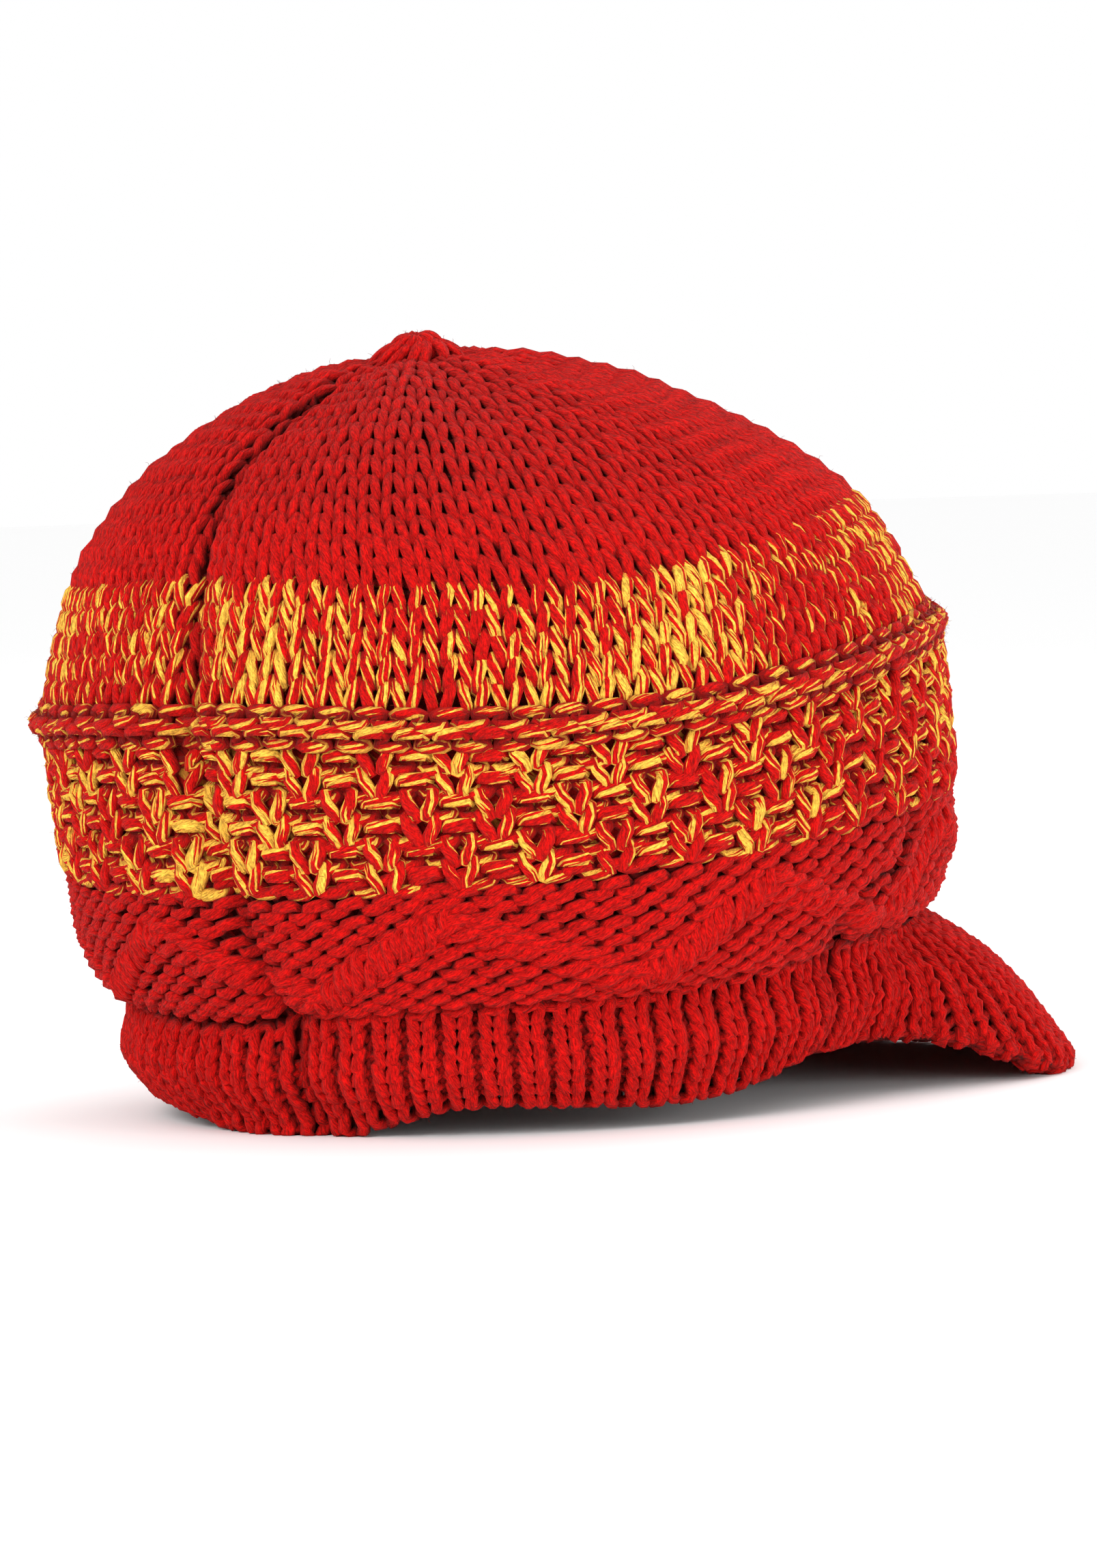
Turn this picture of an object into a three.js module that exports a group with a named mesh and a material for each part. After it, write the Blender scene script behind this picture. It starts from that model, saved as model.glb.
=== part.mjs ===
import * as THREE from "three";
import { mergeVertices } from "three/addons/utils/BufferGeometryUtils.js";

// A hand-knitted visor beanie: a ribbed brim that flares into a short peak, a cable band,
// a marled basket band, a raised purl ridge, a marled stripe and a gathered crown.
// Millimetres, +Z up, the peak towards -Y, the wearer's left towards +X.
// A turn of 0 is the back centre and grows towards the wearer's right.

// Driving dimensions: reach from the cap's axis to the outer skin
const BACK_REACH = 93.5;
const SIDE_REACH = 94;
const FRONT_REACH = 111;

// Height of each knitted band, from the hem up
const RIB_HEIGHT = 20;
const CABLE_HEIGHT = 30;
const BASKET_HEIGHT = 29;
const RIDGE_HEIGHT = 8;
const MARL_HEIGHT = 25;
const CROWN_HEIGHT = 41;

// Thickness of the knitted walls and the clearance between neighbouring pieces
const WALL = 4;
const CLEARANCE = 0.3;

// Peak: reach beyond the hem, fall of its edge below the hem, thickness, arch and half spread
const PEAK_REACH = 49;
const PEAK_FALL = 18;
const PEAK_THICKNESS = 7;
const PEAK_ARCH = 6;
const PEAK_ANGLE = 72;
const PEAK_EDGE_ROUND = 1.2;

// Relief of the knitting
const RIB_PITCH = 7.2;
const RIB_DEPTH = 1.7;
const CABLE_REPEATS = 8;
const CABLE_PROUD = 2.6;
const CABLE_WIDTH = 9;
const BASKET_TIERS = 3;
const BASKET_PITCH = 8;
const BASKET_RELIEF = 1;
const RIDGE_PROUD = 3.4;

// Crown flutes: number, depth, and the share of the crown's height where they are deepest
const FLUTES = 7;
const FLUTE_DEPTH = 1.5;
const FLUTE_PLACE = 0.7;
const FLUTE_REACH = 0.3;

// Back seam: its turn in degrees, its depth and its half width
const SEAM_TURN = 4;
const SEAM_DEPTH = 1.8;
const SEAM_WIDTH = 5;

// Drawn-in knot of stitches at the top
const GATHER_RADIUS = 8;
const GATHER_HEIGHT = 3.4;
const GATHER_PUCKER = 0.82;

// How far the hem and the peak's edge flatten where the cap rests
const REST_SINK = 1.2;

// Facets of each wall: columns round the cap, rows up its outside and rows up its inside
const RIB_ROWS = 3;
const LEAST_RIBS = 4;
const PEAK_ROWS = 6;
const CABLE_GRID = { columns: 80, rows: 7, innerRows: 2 };
const BASKET_INNER_ROWS = 2;
const RIDGE_GRID = { columns: 72, rows: 4, innerRows: 1 };
const MARL_GRID = { columns: 72, rows: 3, innerRows: 2 };
const COLUMNS_PER_FLUTE = 9;
const CROWN_SHARES = [0, 0.16, 0.32, 0.48, 0.64, 0.78, 0.9, 1];
const CROWN_INNER_SHARES = [1, 0.8, 0.55, 0.28, 0];

// Steps over which the slope of the skin is measured: radians round the cap, millimetres up it,
// degrees and a share of the way across the peak
const SLOPE_TURN = 0.01;
const SLOPE_LENGTH = 0.5;
const PEAK_SLOPE_ANGLE = 1;
const PEAK_SLOPE_SHARE = 0.02;
const PEAK_NOSE_SHARE = 0.05;

// The skin is taken as level this near the crown's centre
const LEVEL_TOP = 2;

const BANDS = {
  rib: { start: 0, height: RIB_HEIGHT },
  cable: { start: RIB_HEIGHT, height: CABLE_HEIGHT },
  basket: { start: RIB_HEIGHT + CABLE_HEIGHT, height: BASKET_HEIGHT },
  ridge: { start: RIB_HEIGHT + CABLE_HEIGHT + BASKET_HEIGHT, height: RIDGE_HEIGHT },
  marl: {
    start: RIB_HEIGHT + CABLE_HEIGHT + BASKET_HEIGHT + RIDGE_HEIGHT,
    height: MARL_HEIGHT,
  },
  crown: {
    start: RIB_HEIGHT + CABLE_HEIGHT + BASKET_HEIGHT + RIDGE_HEIGHT + MARL_HEIGHT,
    height: CROWN_HEIGHT,
  },
};

// Sections from the hem to the crown's centre. "at" is a share of the band's height, the other
// columns are shares of the back, side and front reach; the crown leans back and to the left.
const SECTIONS = [
  { band: "rib", at: 0, back: 0.845, side: 0.81, front: 0.82, leanBack: 0, leanLeft: 0 },
  { band: "rib", at: 0.5, back: 0.91, side: 0.872, front: 0.86, leanBack: 0, leanLeft: 0 },
  { band: "cable", at: 0, back: 0.888, side: 0.853, front: 0.892, leanBack: 0, leanLeft: 0 },
  { band: "cable", at: 0.16, back: 0.928, side: 0.92, front: 0.964, leanBack: 0, leanLeft: 0 },
  { band: "cable", at: 0.55, back: 0.973, side: 0.963, front: 1.005, leanBack: 0, leanLeft: 0 },
  { band: "basket", at: 0, back: 0.99, side: 0.984, front: 1.009, leanBack: 0, leanLeft: 0 },
  { band: "basket", at: 0.5, back: 0.997, side: 0.995, front: 1, leanBack: 0, leanLeft: 0 },
  { band: "ridge", at: 0, back: 1, side: 1, front: 0.977, leanBack: 0, leanLeft: 0 },
  { band: "marl", at: 0, back: 0.989, side: 0.991, front: 0.941, leanBack: 0, leanLeft: 0 },
  { band: "crown", at: 0, back: 0.93, side: 0.873, front: 0.815, leanBack: 0, leanLeft: 0 },
  { band: "crown", at: 0.31, back: 0.845, side: 0.761, front: 0.68, leanBack: 0.01, leanLeft: 0.005 },
  { band: "crown", at: 0.63, back: 0.652, side: 0.588, front: 0.495, leanBack: 0.03, leanLeft: 0.02 },
  { band: "crown", at: 0.85, back: 0.41, side: 0.388, front: 0.35, leanBack: 0.05, leanLeft: 0.035 },
  { band: "crown", at: 0.965, back: 0.2, side: 0.195, front: 0.19, leanBack: 0.06, leanLeft: 0.045 },
  { band: "crown", at: 1, back: 0, side: 0, front: 0, leanBack: 0.06, leanLeft: 0.045 },
];

// How the hem and the top of the rib wander round the cap, as shares of the rib's height
const RIB_WAVES = [
  { turn: -150, hem: 0, top: 0.05 },
  { turn: -110, hem: 0.03, top: 0.05 },
  { turn: -70, hem: 0, top: 0.06 },
  { turn: -35, hem: 0.06, top: -0.02 },
  { turn: -12, hem: -0.04, top: -0.08 },
  { turn: 6, hem: -0.22, top: -0.02 },
  { turn: 17, hem: -0.03, top: 0.13 },
  { turn: 34, hem: 0.15, top: 0.14 },
  { turn: 50, hem: 0.07, top: 0.09 },
  { turn: 72, hem: -0.05, top: 0.06 },
  { turn: 95, hem: 0.06, top: 0.04 },
  { turn: 115, hem: 0.01, top: 0.05 },
  { turn: 150, hem: 0, top: 0.05 },
];

// The upper band edges sway three times round the cap, as shares of the band's height
const BASKET_SWAY = 0.07;
const RIDGE_SWAY = 0.3;
const MARL_SWAY = 0.136;

// The peak from its centre to its corner: share of the spread, of the reach and of the fall
const PEAK_EDGE = [
  { spread: 0, reach: 1, fall: 1 },
  { spread: 0.39, reach: 0.93, fall: 1.06 },
  { spread: 0.56, reach: 0.83, fall: 0.96 },
  { spread: 0.7, reach: 0.67, fall: 0.68 },
  { spread: 0.81, reach: 0.4, fall: 0.3 },
  { spread: 0.9, reach: 0.17, fall: 0.08 },
  { spread: 1, reach: 0, fall: 0 },
];

// Creases in the cable band above the peak's corners: half their spread in degrees; "up" and
// "tall" are shares of the band's height and "deep" is a share of the wall
const CREASE_ANGLE = 6;
const CREASES = [
  { turn: 106, up: 0.24, tall: 0.25, deep: 0.6 },
  { turn: 117, up: 0.56, tall: 0.3, deep: 0.7 },
  { turn: -110, up: 0.3, tall: 0.3, deep: 0.6 },
];

// The gathered knot's outline, as shares of its radius and of its height
const GATHER_PROFILE = [
  { out: 0, up: 1 },
  { out: 0.5, up: 0.95 },
  { out: 0.85, up: 0.55 },
  { out: 1, up: 0 },
  { out: 0, up: 0 },
];

// The cable's zigzag: turn of its first low point and the shares of one repeat and of the band
const CABLE_FIRST_LOW = 14.5;
const CABLE_RISE_SHARE = 0.41;
const CABLE_LOW = 0.24;
const CABLE_HIGH = 0.78;

const COLOURS = {
  red: 0xc01a18,
  deepRed: 0xa51416,
  marl: 0xd8762a,
};

const degrees = THREE.MathUtils.radToDeg;
const radians = THREE.MathUtils.degToRad;
const halfTurn = degrees(Math.PI);
const fullTurn = 2 * halfTurn;

function smoothTable(rows, key, columns) {
  const values = rows.flatMap((row) => columns.map((column) => row[column]));
  return new THREE.CubicInterpolant(rows.map((row) => row[key]), values, columns.length);
}

function periodicTable(rows, columns) {
  const period = (shift) => rows.map((row) => ({ ...row, turn: row.turn + shift }));
  return smoothTable([...period(-fullTurn), ...rows, ...period(fullTurn)], "turn", columns);
}

// Sections in millimetres, each with its place along the outer skin measured up the side
function measureSections() {
  const rows = [];
  for (const section of SECTIONS) {
    const band = BANDS[section.band];
    const row = {
      height: band.start + section.at * band.height,
      back: section.back * BACK_REACH,
      side: section.side * SIDE_REACH,
      front: section.front * FRONT_REACH,
      leanBack: section.leanBack * BACK_REACH,
      leanLeft: section.leanLeft * SIDE_REACH,
    };
    const last = rows.at(-1);
    row.along = last ? last.along + Math.hypot(row.height - last.height, row.side - last.side) : 0;
    rows.push(row);
  }
  return rows;
}

const sections = measureSections();
const skinTable = smoothTable(sections, "along", [
  "height", "back", "side", "front", "leanBack", "leanLeft",
]);
const waveTable = periodicTable(RIB_WAVES, ["hem", "top"]);
const peakTable = smoothTable(PEAK_EDGE, "spread", ["reach", "fall"]);
const APEX_ALONG = sections.at(-1).along;

function bandStart(name) {
  return sections[SECTIONS.findIndex((row) => row.band === name && row.at === 0)].along;
}

// The angle in degrees from a centre to a turn, at most half a turn either way
function turnBetween(turn, centre) {
  return THREE.MathUtils.euclideanModulo(degrees(turn) - centre + halfTurn, fullTurn) - halfTurn;
}

function bump(distance, width) {
  return Math.exp(-((distance / width) ** 2));
}

// A point of the outer skin, without the knitting's relief
function skin(turn, along) {
  const row = skinTable.evaluate(Math.max(along, 0));
  const [height, back, side, front, leanBack, leanLeft] = row;
  const reach = Math.cos(turn) > 0 ? back : front;
  return new THREE.Vector3(
    leanLeft - side * Math.sin(turn),
    leanBack + reach * Math.cos(turn),
    height + Math.min(along, 0),
  );
}

function skinNormal(turn, along) {
  if (along > APEX_ALONG - LEVEL_TOP) {
    return new THREE.Vector3(0, 0, 1);
  }
  const across = skin(turn + SLOPE_TURN, along).sub(skin(turn - SLOPE_TURN, along));
  const upwards = skin(turn, along + SLOPE_LENGTH).sub(skin(turn, along - SLOPE_LENGTH));
  return across.cross(upwards).normalize();
}

function lifted(turn, along, relief) {
  return skin(turn, along).addScaledVector(skinNormal(turn, along), relief);
}

// The lower edge of each band at a turn, as a distance along the skin
const EDGES = {
  rib: (turn) => waveTable.evaluate(turnBetween(turn, 0))[0] * RIB_HEIGHT,
  cable: (turn) => bandStart("cable") + waveTable.evaluate(turnBetween(turn, 0))[1] * RIB_HEIGHT,
  basket: () => bandStart("basket"),
  ridge: (turn) => bandStart("ridge") + BASKET_SWAY * BASKET_HEIGHT * Math.cos(3 * turn),
  marl: (turn) => bandStart("marl") + RIDGE_SWAY * RIDGE_HEIGHT * Math.cos(3 * turn),
  crown: (turn) => bandStart("crown") + MARL_SWAY * MARL_HEIGHT * Math.cos(3 * turn),
};

function seamDent(turn) {
  return -SEAM_DEPTH * bump(turnBetween(turn, SEAM_TURN), SEAM_WIDTH);
}

// One closed body from equal loops of points; the loops join up when the wall runs all round
function closedBody(loops, allRound) {
  const size = loops[0].length;
  const positions = loops.flat().flatMap((point) => point.toArray());
  const indices = [];
  const strips = allRound ? loops.length : loops.length - 1;
  for (let i = 0; i < strips; i += 1) {
    const here = i * size;
    const next = ((i + 1) % loops.length) * size;
    for (let j = 0; j < size; j += 1) {
      const up = (j + 1) % size;
      indices.push(here + j, next + j, next + up);
      indices.push(here + j, next + up, here + up);
    }
  }
  if (!allRound) {
    const last = (loops.length - 1) * size;
    for (let j = 0; j < size / 2 - 1; j += 1) {
      const back = size - 1 - j;
      indices.push(j, j + 1, back - 1, j, back - 1, back);
      indices.push(last + j, last + back - 1, last + j + 1, last + j, last + back, last + back - 1);
    }
  }
  return dropSlivers(positions, indices);
}

// Points that coincide, as at the crown's centre, become one, and the flat triangles there go
function dropSlivers(positions, indices) {
  const loose = new THREE.BufferGeometry();
  loose.setAttribute("position", new THREE.Float32BufferAttribute(positions, 3));
  loose.setIndex(indices);
  const merged = mergeVertices(loose, 1e-4);
  const kept = [];
  const index = merged.getIndex().array;
  for (let k = 0; k < index.length; k += 3) {
    const [a, b, c] = index.slice(k, k + 3);
    if (a !== b && b !== c && c !== a) {
      kept.push(a, b, c);
    }
  }
  merged.setIndex(kept);
  return merged;
}

// A knitted wall between two edges. The rows give the share of the way up and the relief.
function knitLoop(turn, low, high, rows, relief, innerRows) {
  const loop = [];
  for (let j = 0; j <= rows; j += 1) {
    const share = j / rows;
    const along = THREE.MathUtils.lerp(low, high, share);
    loop.push(lifted(turn, along, relief(turn, along, share)));
  }
  for (let j = innerRows; j >= 0; j -= 1) {
    const along = THREE.MathUtils.lerp(low, high, j / innerRows);
    loop.push(lifted(turn, along, seamDent(turn) - WALL));
  }
  return loop;
}

function knitBand({ band, above, columns, rows, innerRows, relief }) {
  const loops = [];
  for (let i = 0; i < columns; i += 1) {
    const turn = radians(SEAM_TURN) + (i / columns) * 2 * Math.PI;
    const low = EDGES[band](turn) + CLEARANCE / 2;
    const high = EDGES[above](turn) - CLEARANCE / 2;
    loops.push(knitLoop(turn, low, high, rows, relief(i), innerRows));
  }
  return closedBody(loops, true);
}

// Ribs: every other column stands proud
function ribRelief(column) {
  return column % 2 === 0 ? -RIB_DEPTH : 0;
}

const ribSpan = 2 * (halfTurn - PEAK_ANGLE);
const cornerMargin = degrees(CLEARANCE / 2 / sections[0].side);
const hemLength = Math.PI * (sections[0].side + (sections[0].back + sections[0].front) / 2);

function ribsIn(span) {
  return Math.max(LEAST_RIBS, Math.round((hemLength * span) / fullTurn / RIB_PITCH));
}

function ribBrim() {
  const columns = 2 * ribsIn(ribSpan);
  const side = ribSpan / 2 - cornerMargin;
  const loops = [];
  for (let i = 0; i <= columns; i += 1) {
    const turn = radians(THREE.MathUtils.lerp(-side, side, i / columns));
    const top = EDGES.cable(turn) - CLEARANCE / 2;
    const relief = () => ribRelief(i) + seamDent(turn);
    loops.push(knitLoop(turn, EDGES.rib(turn), top, RIB_ROWS, relief, RIB_ROWS));
  }
  return closedBody(loops, false);
}

// The peak's top skin at an angle from the front centre; share runs from the rib's top to the edge
function peakSkin(angle, share) {
  const [reach, fall] = peakTable.evaluate(Math.abs(angle) / PEAK_ANGLE);
  const turn = radians(halfTurn - angle);
  const top = EDGES.cable(turn) - CLEARANCE / 2;
  const point = skin(turn, THREE.MathUtils.lerp(top, EDGES.rib(turn), share));
  const outwards = skinNormal(turn, bandStart("cable") / 2).setZ(0).normalize();
  point.addScaledVector(outwards, reach * PEAK_REACH * share);
  point.z += PEAK_ARCH * reach * Math.sin(Math.PI * share) - PEAK_FALL * fall * share;
  return point;
}

function peakNormal(angle, share) {
  const across = peakSkin(angle - PEAK_SLOPE_ANGLE, share).sub(peakSkin(angle + PEAK_SLOPE_ANGLE, share));
  const outer = peakSkin(angle, Math.min(share + PEAK_SLOPE_SHARE, 1));
  const inner = peakSkin(angle, Math.max(share - PEAK_SLOPE_SHARE, 0));
  return outer.sub(inner).cross(across).normalize();
}

// One section of the peak: out along its under side, round the edge and back up its top
function peakLoop(angle, rib) {
  const turn = radians(halfTurn - angle);
  const [reach] = peakTable.evaluate(Math.abs(angle) / PEAK_ANGLE);
  const thickness = THREE.MathUtils.lerp(WALL, PEAK_THICKNESS, reach);
  const under = [lifted(turn, EDGES.cable(turn) - CLEARANCE / 2, -WALL)];
  const over = [peakSkin(angle, 0).addScaledVector(peakNormal(angle, 0), ribRelief(rib))];
  for (let j = 1; j <= PEAK_ROWS; j += 1) {
    const share = j / PEAK_ROWS;
    const normal = peakNormal(angle, share);
    const drawnIn = j === PEAK_ROWS ? PEAK_EDGE_ROUND : 0;
    const point = peakSkin(angle, share);
    over.push(point.clone().addScaledVector(normal, ribRelief(rib) - drawnIn));
    under.push(point.addScaledVector(normal, drawnIn - thickness));
  }
  const nose = over.at(-1).clone().lerp(under.at(-1), 0.5);
  const outwards = peakSkin(angle, 1).sub(peakSkin(angle, 1 - PEAK_NOSE_SHARE));
  nose.add(outwards.setLength(PEAK_EDGE_ROUND));
  return [...under, nose, ...over.reverse()];
}

function peak() {
  const columns = 2 * ribsIn(2 * PEAK_ANGLE);
  const side = PEAK_ANGLE - cornerMargin;
  const loops = [];
  for (let i = 0; i <= columns; i += 1) {
    loops.push(peakLoop(THREE.MathUtils.lerp(side, -side, i / columns), i));
  }
  return closedBody(loops, false);
}

// How far up the cable band the zigzag cable's centre line is, as a share of its height
function cableHeight(turn) {
  const repeat = fullTurn / CABLE_REPEATS;
  const phase = THREE.MathUtils.euclideanModulo(degrees(turn) - CABLE_FIRST_LOW, repeat) / repeat;
  const rise = phase / CABLE_RISE_SHARE;
  const fall = (1 - phase) / (1 - CABLE_RISE_SHARE);
  return THREE.MathUtils.lerp(CABLE_LOW, CABLE_HIGH, Math.min(rise, fall));
}

function cableRelief(turn, along, share) {
  const distance = (share - cableHeight(turn)) * CABLE_HEIGHT;
  let relief = CABLE_PROUD * bump(distance, CABLE_WIDTH / 2) - CABLE_PROUD / 2;
  for (const crease of CREASES) {
    const across = turnBetween(turn, crease.turn);
    const upwards = share - crease.up;
    relief -= crease.deep * WALL * bump(across, CREASE_ANGLE) * bump(upwards, crease.tall);
  }
  return Math.min(relief, CABLE_PROUD / 2) + seamDent(turn);
}

function cableBand() {
  const relief = () => cableRelief;
  return knitBand({ band: "cable", above: "basket", ...CABLE_GRID, relief });
}

// Basket pattern: raised and sunken squares that swap from tier to tier
function basketBand() {
  const around = Math.PI * (SIDE_REACH + (BACK_REACH + FRONT_REACH) / 2);
  const columns = 2 * Math.round(around / BASKET_PITCH / 2);
  const rows = BASKET_TIERS + 1;
  const relief = (column) => (turn, along, share) => {
    const tier = Math.round(share * rows);
    const rim = tier === 0 || tier === rows;
    const raised = (tier + column) % 2 === 0;
    const square = raised ? 0 : -BASKET_RELIEF;
    return (rim ? -BASKET_RELIEF / 2 : square) + seamDent(turn);
  };
  return knitBand({
    band: "basket", above: "ridge", columns, rows, innerRows: BASKET_INNER_ROWS, relief,
  });
}

function purlRidge() {
  const relief = () => (turn, along, share) => RIDGE_PROUD * Math.sin(Math.PI * share) + seamDent(turn);
  return knitBand({ band: "ridge", above: "marl", ...RIDGE_GRID, relief });
}

function marlStripe() {
  const relief = () => (turn) => seamDent(turn);
  return knitBand({ band: "marl", above: "crown", ...MARL_GRID, relief });
}

// Crown: a dome whose decreases draw it into shallow flutes towards the centre
function crownLoop(turn) {
  const low = EDGES.crown(turn) + CLEARANCE / 2;
  const wave = (Math.cos(FLUTES * (turn - radians(SEAM_TURN))) + 1) / 2;
  const dent = (share) => {
    const flute = FLUTE_DEPTH * wave * bump(share - FLUTE_PLACE, FLUTE_REACH);
    return share === 1 ? 0 : seamDent(turn) * (1 - share) - flute;
  };
  const point = (share, depth) => {
    return lifted(turn, THREE.MathUtils.lerp(low, APEX_ALONG, share), dent(share) - depth);
  };
  return [
    ...CROWN_SHARES.map((share) => point(share, 0)),
    ...CROWN_INNER_SHARES.map((share) => point(share, WALL)),
  ];
}

function crown() {
  const columns = FLUTES * COLUMNS_PER_FLUTE;
  const loops = [];
  for (let i = 0; i < columns; i += 1) {
    loops.push(crownLoop(radians(SEAM_TURN) + (i / columns) * 2 * Math.PI));
  }
  return closedBody(loops, true);
}

// The gathered knot: a low puckered button that sits on the crown's centre
function crownGather() {
  const columns = 2 * FLUTES;
  const apex = skin(0, APEX_ALONG);
  const loops = [];
  for (let i = 0; i < columns; i += 1) {
    const turn = (i / columns) * 2 * Math.PI;
    const radius = GATHER_RADIUS * (i % 2 === 0 ? 1 : GATHER_PUCKER);
    const loop = GATHER_PROFILE.map(({ out, up }) => new THREE.Vector3(
      apex.x - out * radius * Math.sin(turn),
      apex.y + out * radius * Math.cos(turn),
      apex.z + CLEARANCE + up * GATHER_HEIGHT,
    ));
    loops.push(loop.reverse());
  }
  return closedBody(loops, true);
}

const PIECES = {
  rib_brim: { make: ribBrim, colour: COLOURS.red },
  peak: { make: peak, colour: COLOURS.deepRed },
  cable_band: { make: cableBand, colour: COLOURS.red },
  basket_band: { make: basketBand, colour: COLOURS.marl },
  purl_ridge: { make: purlRidge, colour: COLOURS.marl },
  marl_stripe: { make: marlStripe, colour: COLOURS.marl },
  crown: { make: crown, colour: COLOURS.red },
  crown_gather: { make: crownGather, colour: COLOURS.deepRed },
};

function lowestPoint(geometry, wanted) {
  const position = geometry.getAttribute("position");
  const lowest = new THREE.Vector3(0, 0, Infinity);
  const point = new THREE.Vector3();
  for (let k = 0; k < position.count; k += 1) {
    point.fromBufferAttribute(position, k);
    if (point.z < lowest.z && wanted(point)) {
      lowest.copy(point);
    }
  }
  return lowest;
}

// The cap leans back until the hem's back and the peak's edge are level, and settles there
function restCap(geometries) {
  const hem = lowestPoint(geometries.rib_brim, (point) => point.y > 0);
  const edge = lowestPoint(geometries.peak, (point) => point.y < 0);
  const lean = Math.atan2(hem.z - edge.z, hem.y - edge.y);
  const box = new THREE.Box3();
  for (const geometry of Object.values(geometries)) {
    geometry.rotateX(-lean);
  }
  const low = Math.max(
    lowestPoint(geometries.rib_brim, (point) => point.y > 0).z,
    lowestPoint(geometries.peak, (point) => point.y < 0).z,
  );
  for (const geometry of Object.values(geometries)) {
    geometry.translate(0, 0, -low - REST_SINK);
    flattenBelowFloor(geometry);
    geometry.computeBoundingBox();
    box.union(geometry.boundingBox);
  }
  const centre = box.getCenter(new THREE.Vector3());
  for (const geometry of Object.values(geometries)) {
    geometry.translate(-centre.x, -centre.y, -box.min.z);
  }
}

function flattenBelowFloor(geometry) {
  const position = geometry.getAttribute("position");
  for (let k = 0; k < position.count; k += 1) {
    position.setZ(k, Math.max(position.getZ(k), 0));
  }
}

function buildCap() {
  const geometries = {};
  for (const [name, piece] of Object.entries(PIECES)) {
    geometries[name] = piece.make();
  }
  restCap(geometries);
  const cap = new THREE.Group();
  for (const [name, piece] of Object.entries(PIECES)) {
    const material = new THREE.MeshStandardMaterial({ color: piece.colour, roughness: 0.9, metalness: 0 });
    const mesh = new THREE.Mesh(geometries[name], material);
    mesh.name = name;
    cap.add(mesh);
  }
  return cap;
}

export default buildCap();
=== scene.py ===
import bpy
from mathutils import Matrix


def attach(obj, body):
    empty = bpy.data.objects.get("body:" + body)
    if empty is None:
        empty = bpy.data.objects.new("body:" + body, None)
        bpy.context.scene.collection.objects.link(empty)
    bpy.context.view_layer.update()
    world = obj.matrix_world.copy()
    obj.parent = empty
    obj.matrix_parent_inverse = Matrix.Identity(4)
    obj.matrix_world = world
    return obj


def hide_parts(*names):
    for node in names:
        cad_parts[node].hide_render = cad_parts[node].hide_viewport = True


bl_info = {
    "name": "Knit Visor Beanie",
    "version": (1, 0, 0),
    "blender": (4, 5, 0),
    "location": "View3D > Sidebar > Knit Cap",
    "description": "Knits a visor beanie stitch by stitch over its fixed frame",
    "category": "Object",
}

import math

import bmesh
import bpy
import numpy as np
from mathutils import Matrix, Vector

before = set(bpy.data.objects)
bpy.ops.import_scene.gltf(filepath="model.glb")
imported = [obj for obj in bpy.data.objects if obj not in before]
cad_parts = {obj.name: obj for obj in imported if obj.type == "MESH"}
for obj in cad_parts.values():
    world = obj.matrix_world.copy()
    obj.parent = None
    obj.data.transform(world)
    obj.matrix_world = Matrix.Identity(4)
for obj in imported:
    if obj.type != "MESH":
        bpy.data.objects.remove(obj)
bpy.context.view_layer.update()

# The cap is worked out in millimetres in its own upright frame, the peak towards -Y.
# A turn of 0 is the back centre and grows towards the wearer's right.
MM = 0.001
BACK_REACH = 93.5
SIDE_REACH = 94.0
FRONT_REACH = 111.0
RIB_HEIGHT = 20.0
CABLE_HEIGHT = 30.0
BASKET_HEIGHT = 29.0
RIDGE_HEIGHT = 8.0
MARL_HEIGHT = 25.0
CROWN_HEIGHT = 41.0
WALL = 4.0
PEAK_REACH = 49.0
PEAK_FALL = 18.0
PEAK_THICKNESS = 7.0
PEAK_ARCH = 6.0
PEAK_SPREAD = 72.0
PEAK_EDGE_ROUND = 1.2
RIDGE_PROUD = 3.4
BASKET_PROUD = 0.3
CABLE_SUNK = 0.4
CABLE_SLIP = 1.8
MARL_TWIST = math.radians(2.6)
APEX_FLAT = 2.0

# The crown's flutes: how many, how deep, and the share up the crown where they are deepest
FLUTES = 7
FLUTE_DEPTH = 1.5
FLUTE_PLACE = 0.7
FLUTE_REACH = 0.3

# The back seam: the turn where the courses begin, its wide pucker, its sharp fold and the
# share of the light that the fold takes away
SEAM_TURN = math.radians(4.0)
SEAM_DEPTH = 1.8
SEAM_WIDTH = math.radians(5.0)
SEAM_FOLD = math.radians(1.6)
SEAM_FOLD_DEPTH = 2.8
SEAM_SHADE = 0.9

# Where the back seam runs, in degrees of turn, at the bottom and the top of each band
SEAM_LINE = {
    "rib": (9.0, 7.5), "cable": (7.5, 3.0), "basket": (3.0, -0.9), "ridge": (-0.9, -0.9),
    "marl": (-0.9, -0.9), "crown": (-0.9, -5.8),
}

# The seam's fold up the crown: its depth, its width as a share of the seam's fold and the share
# of the light that it takes away. It spans a wider turn as the crown narrows, and fades out
CROWN_FOLD_DEPTH = 2.8
CROWN_FOLD_WIDTH = 0.8
CROWN_FOLD_SHADE = 0.95
CROWN_FOLD_END = 0.88
CROWN_FOLD_FADE = 5
CROWN_NARROWS = 0.9
CROWN_NARROWEST = 0.2

# The cap leans back until its hem and its peak both touch what it rests on
REST_LEAN = math.radians(5.167)
REST_SHIFT = np.array([0.01, 18.43, 10.04])
REST_CLEAR = 0.1

BAND_HEIGHTS = {
    "rib": RIB_HEIGHT, "cable": CABLE_HEIGHT, "basket": BASKET_HEIGHT,
    "ridge": RIDGE_HEIGHT, "marl": MARL_HEIGHT, "crown": CROWN_HEIGHT,
}

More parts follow.
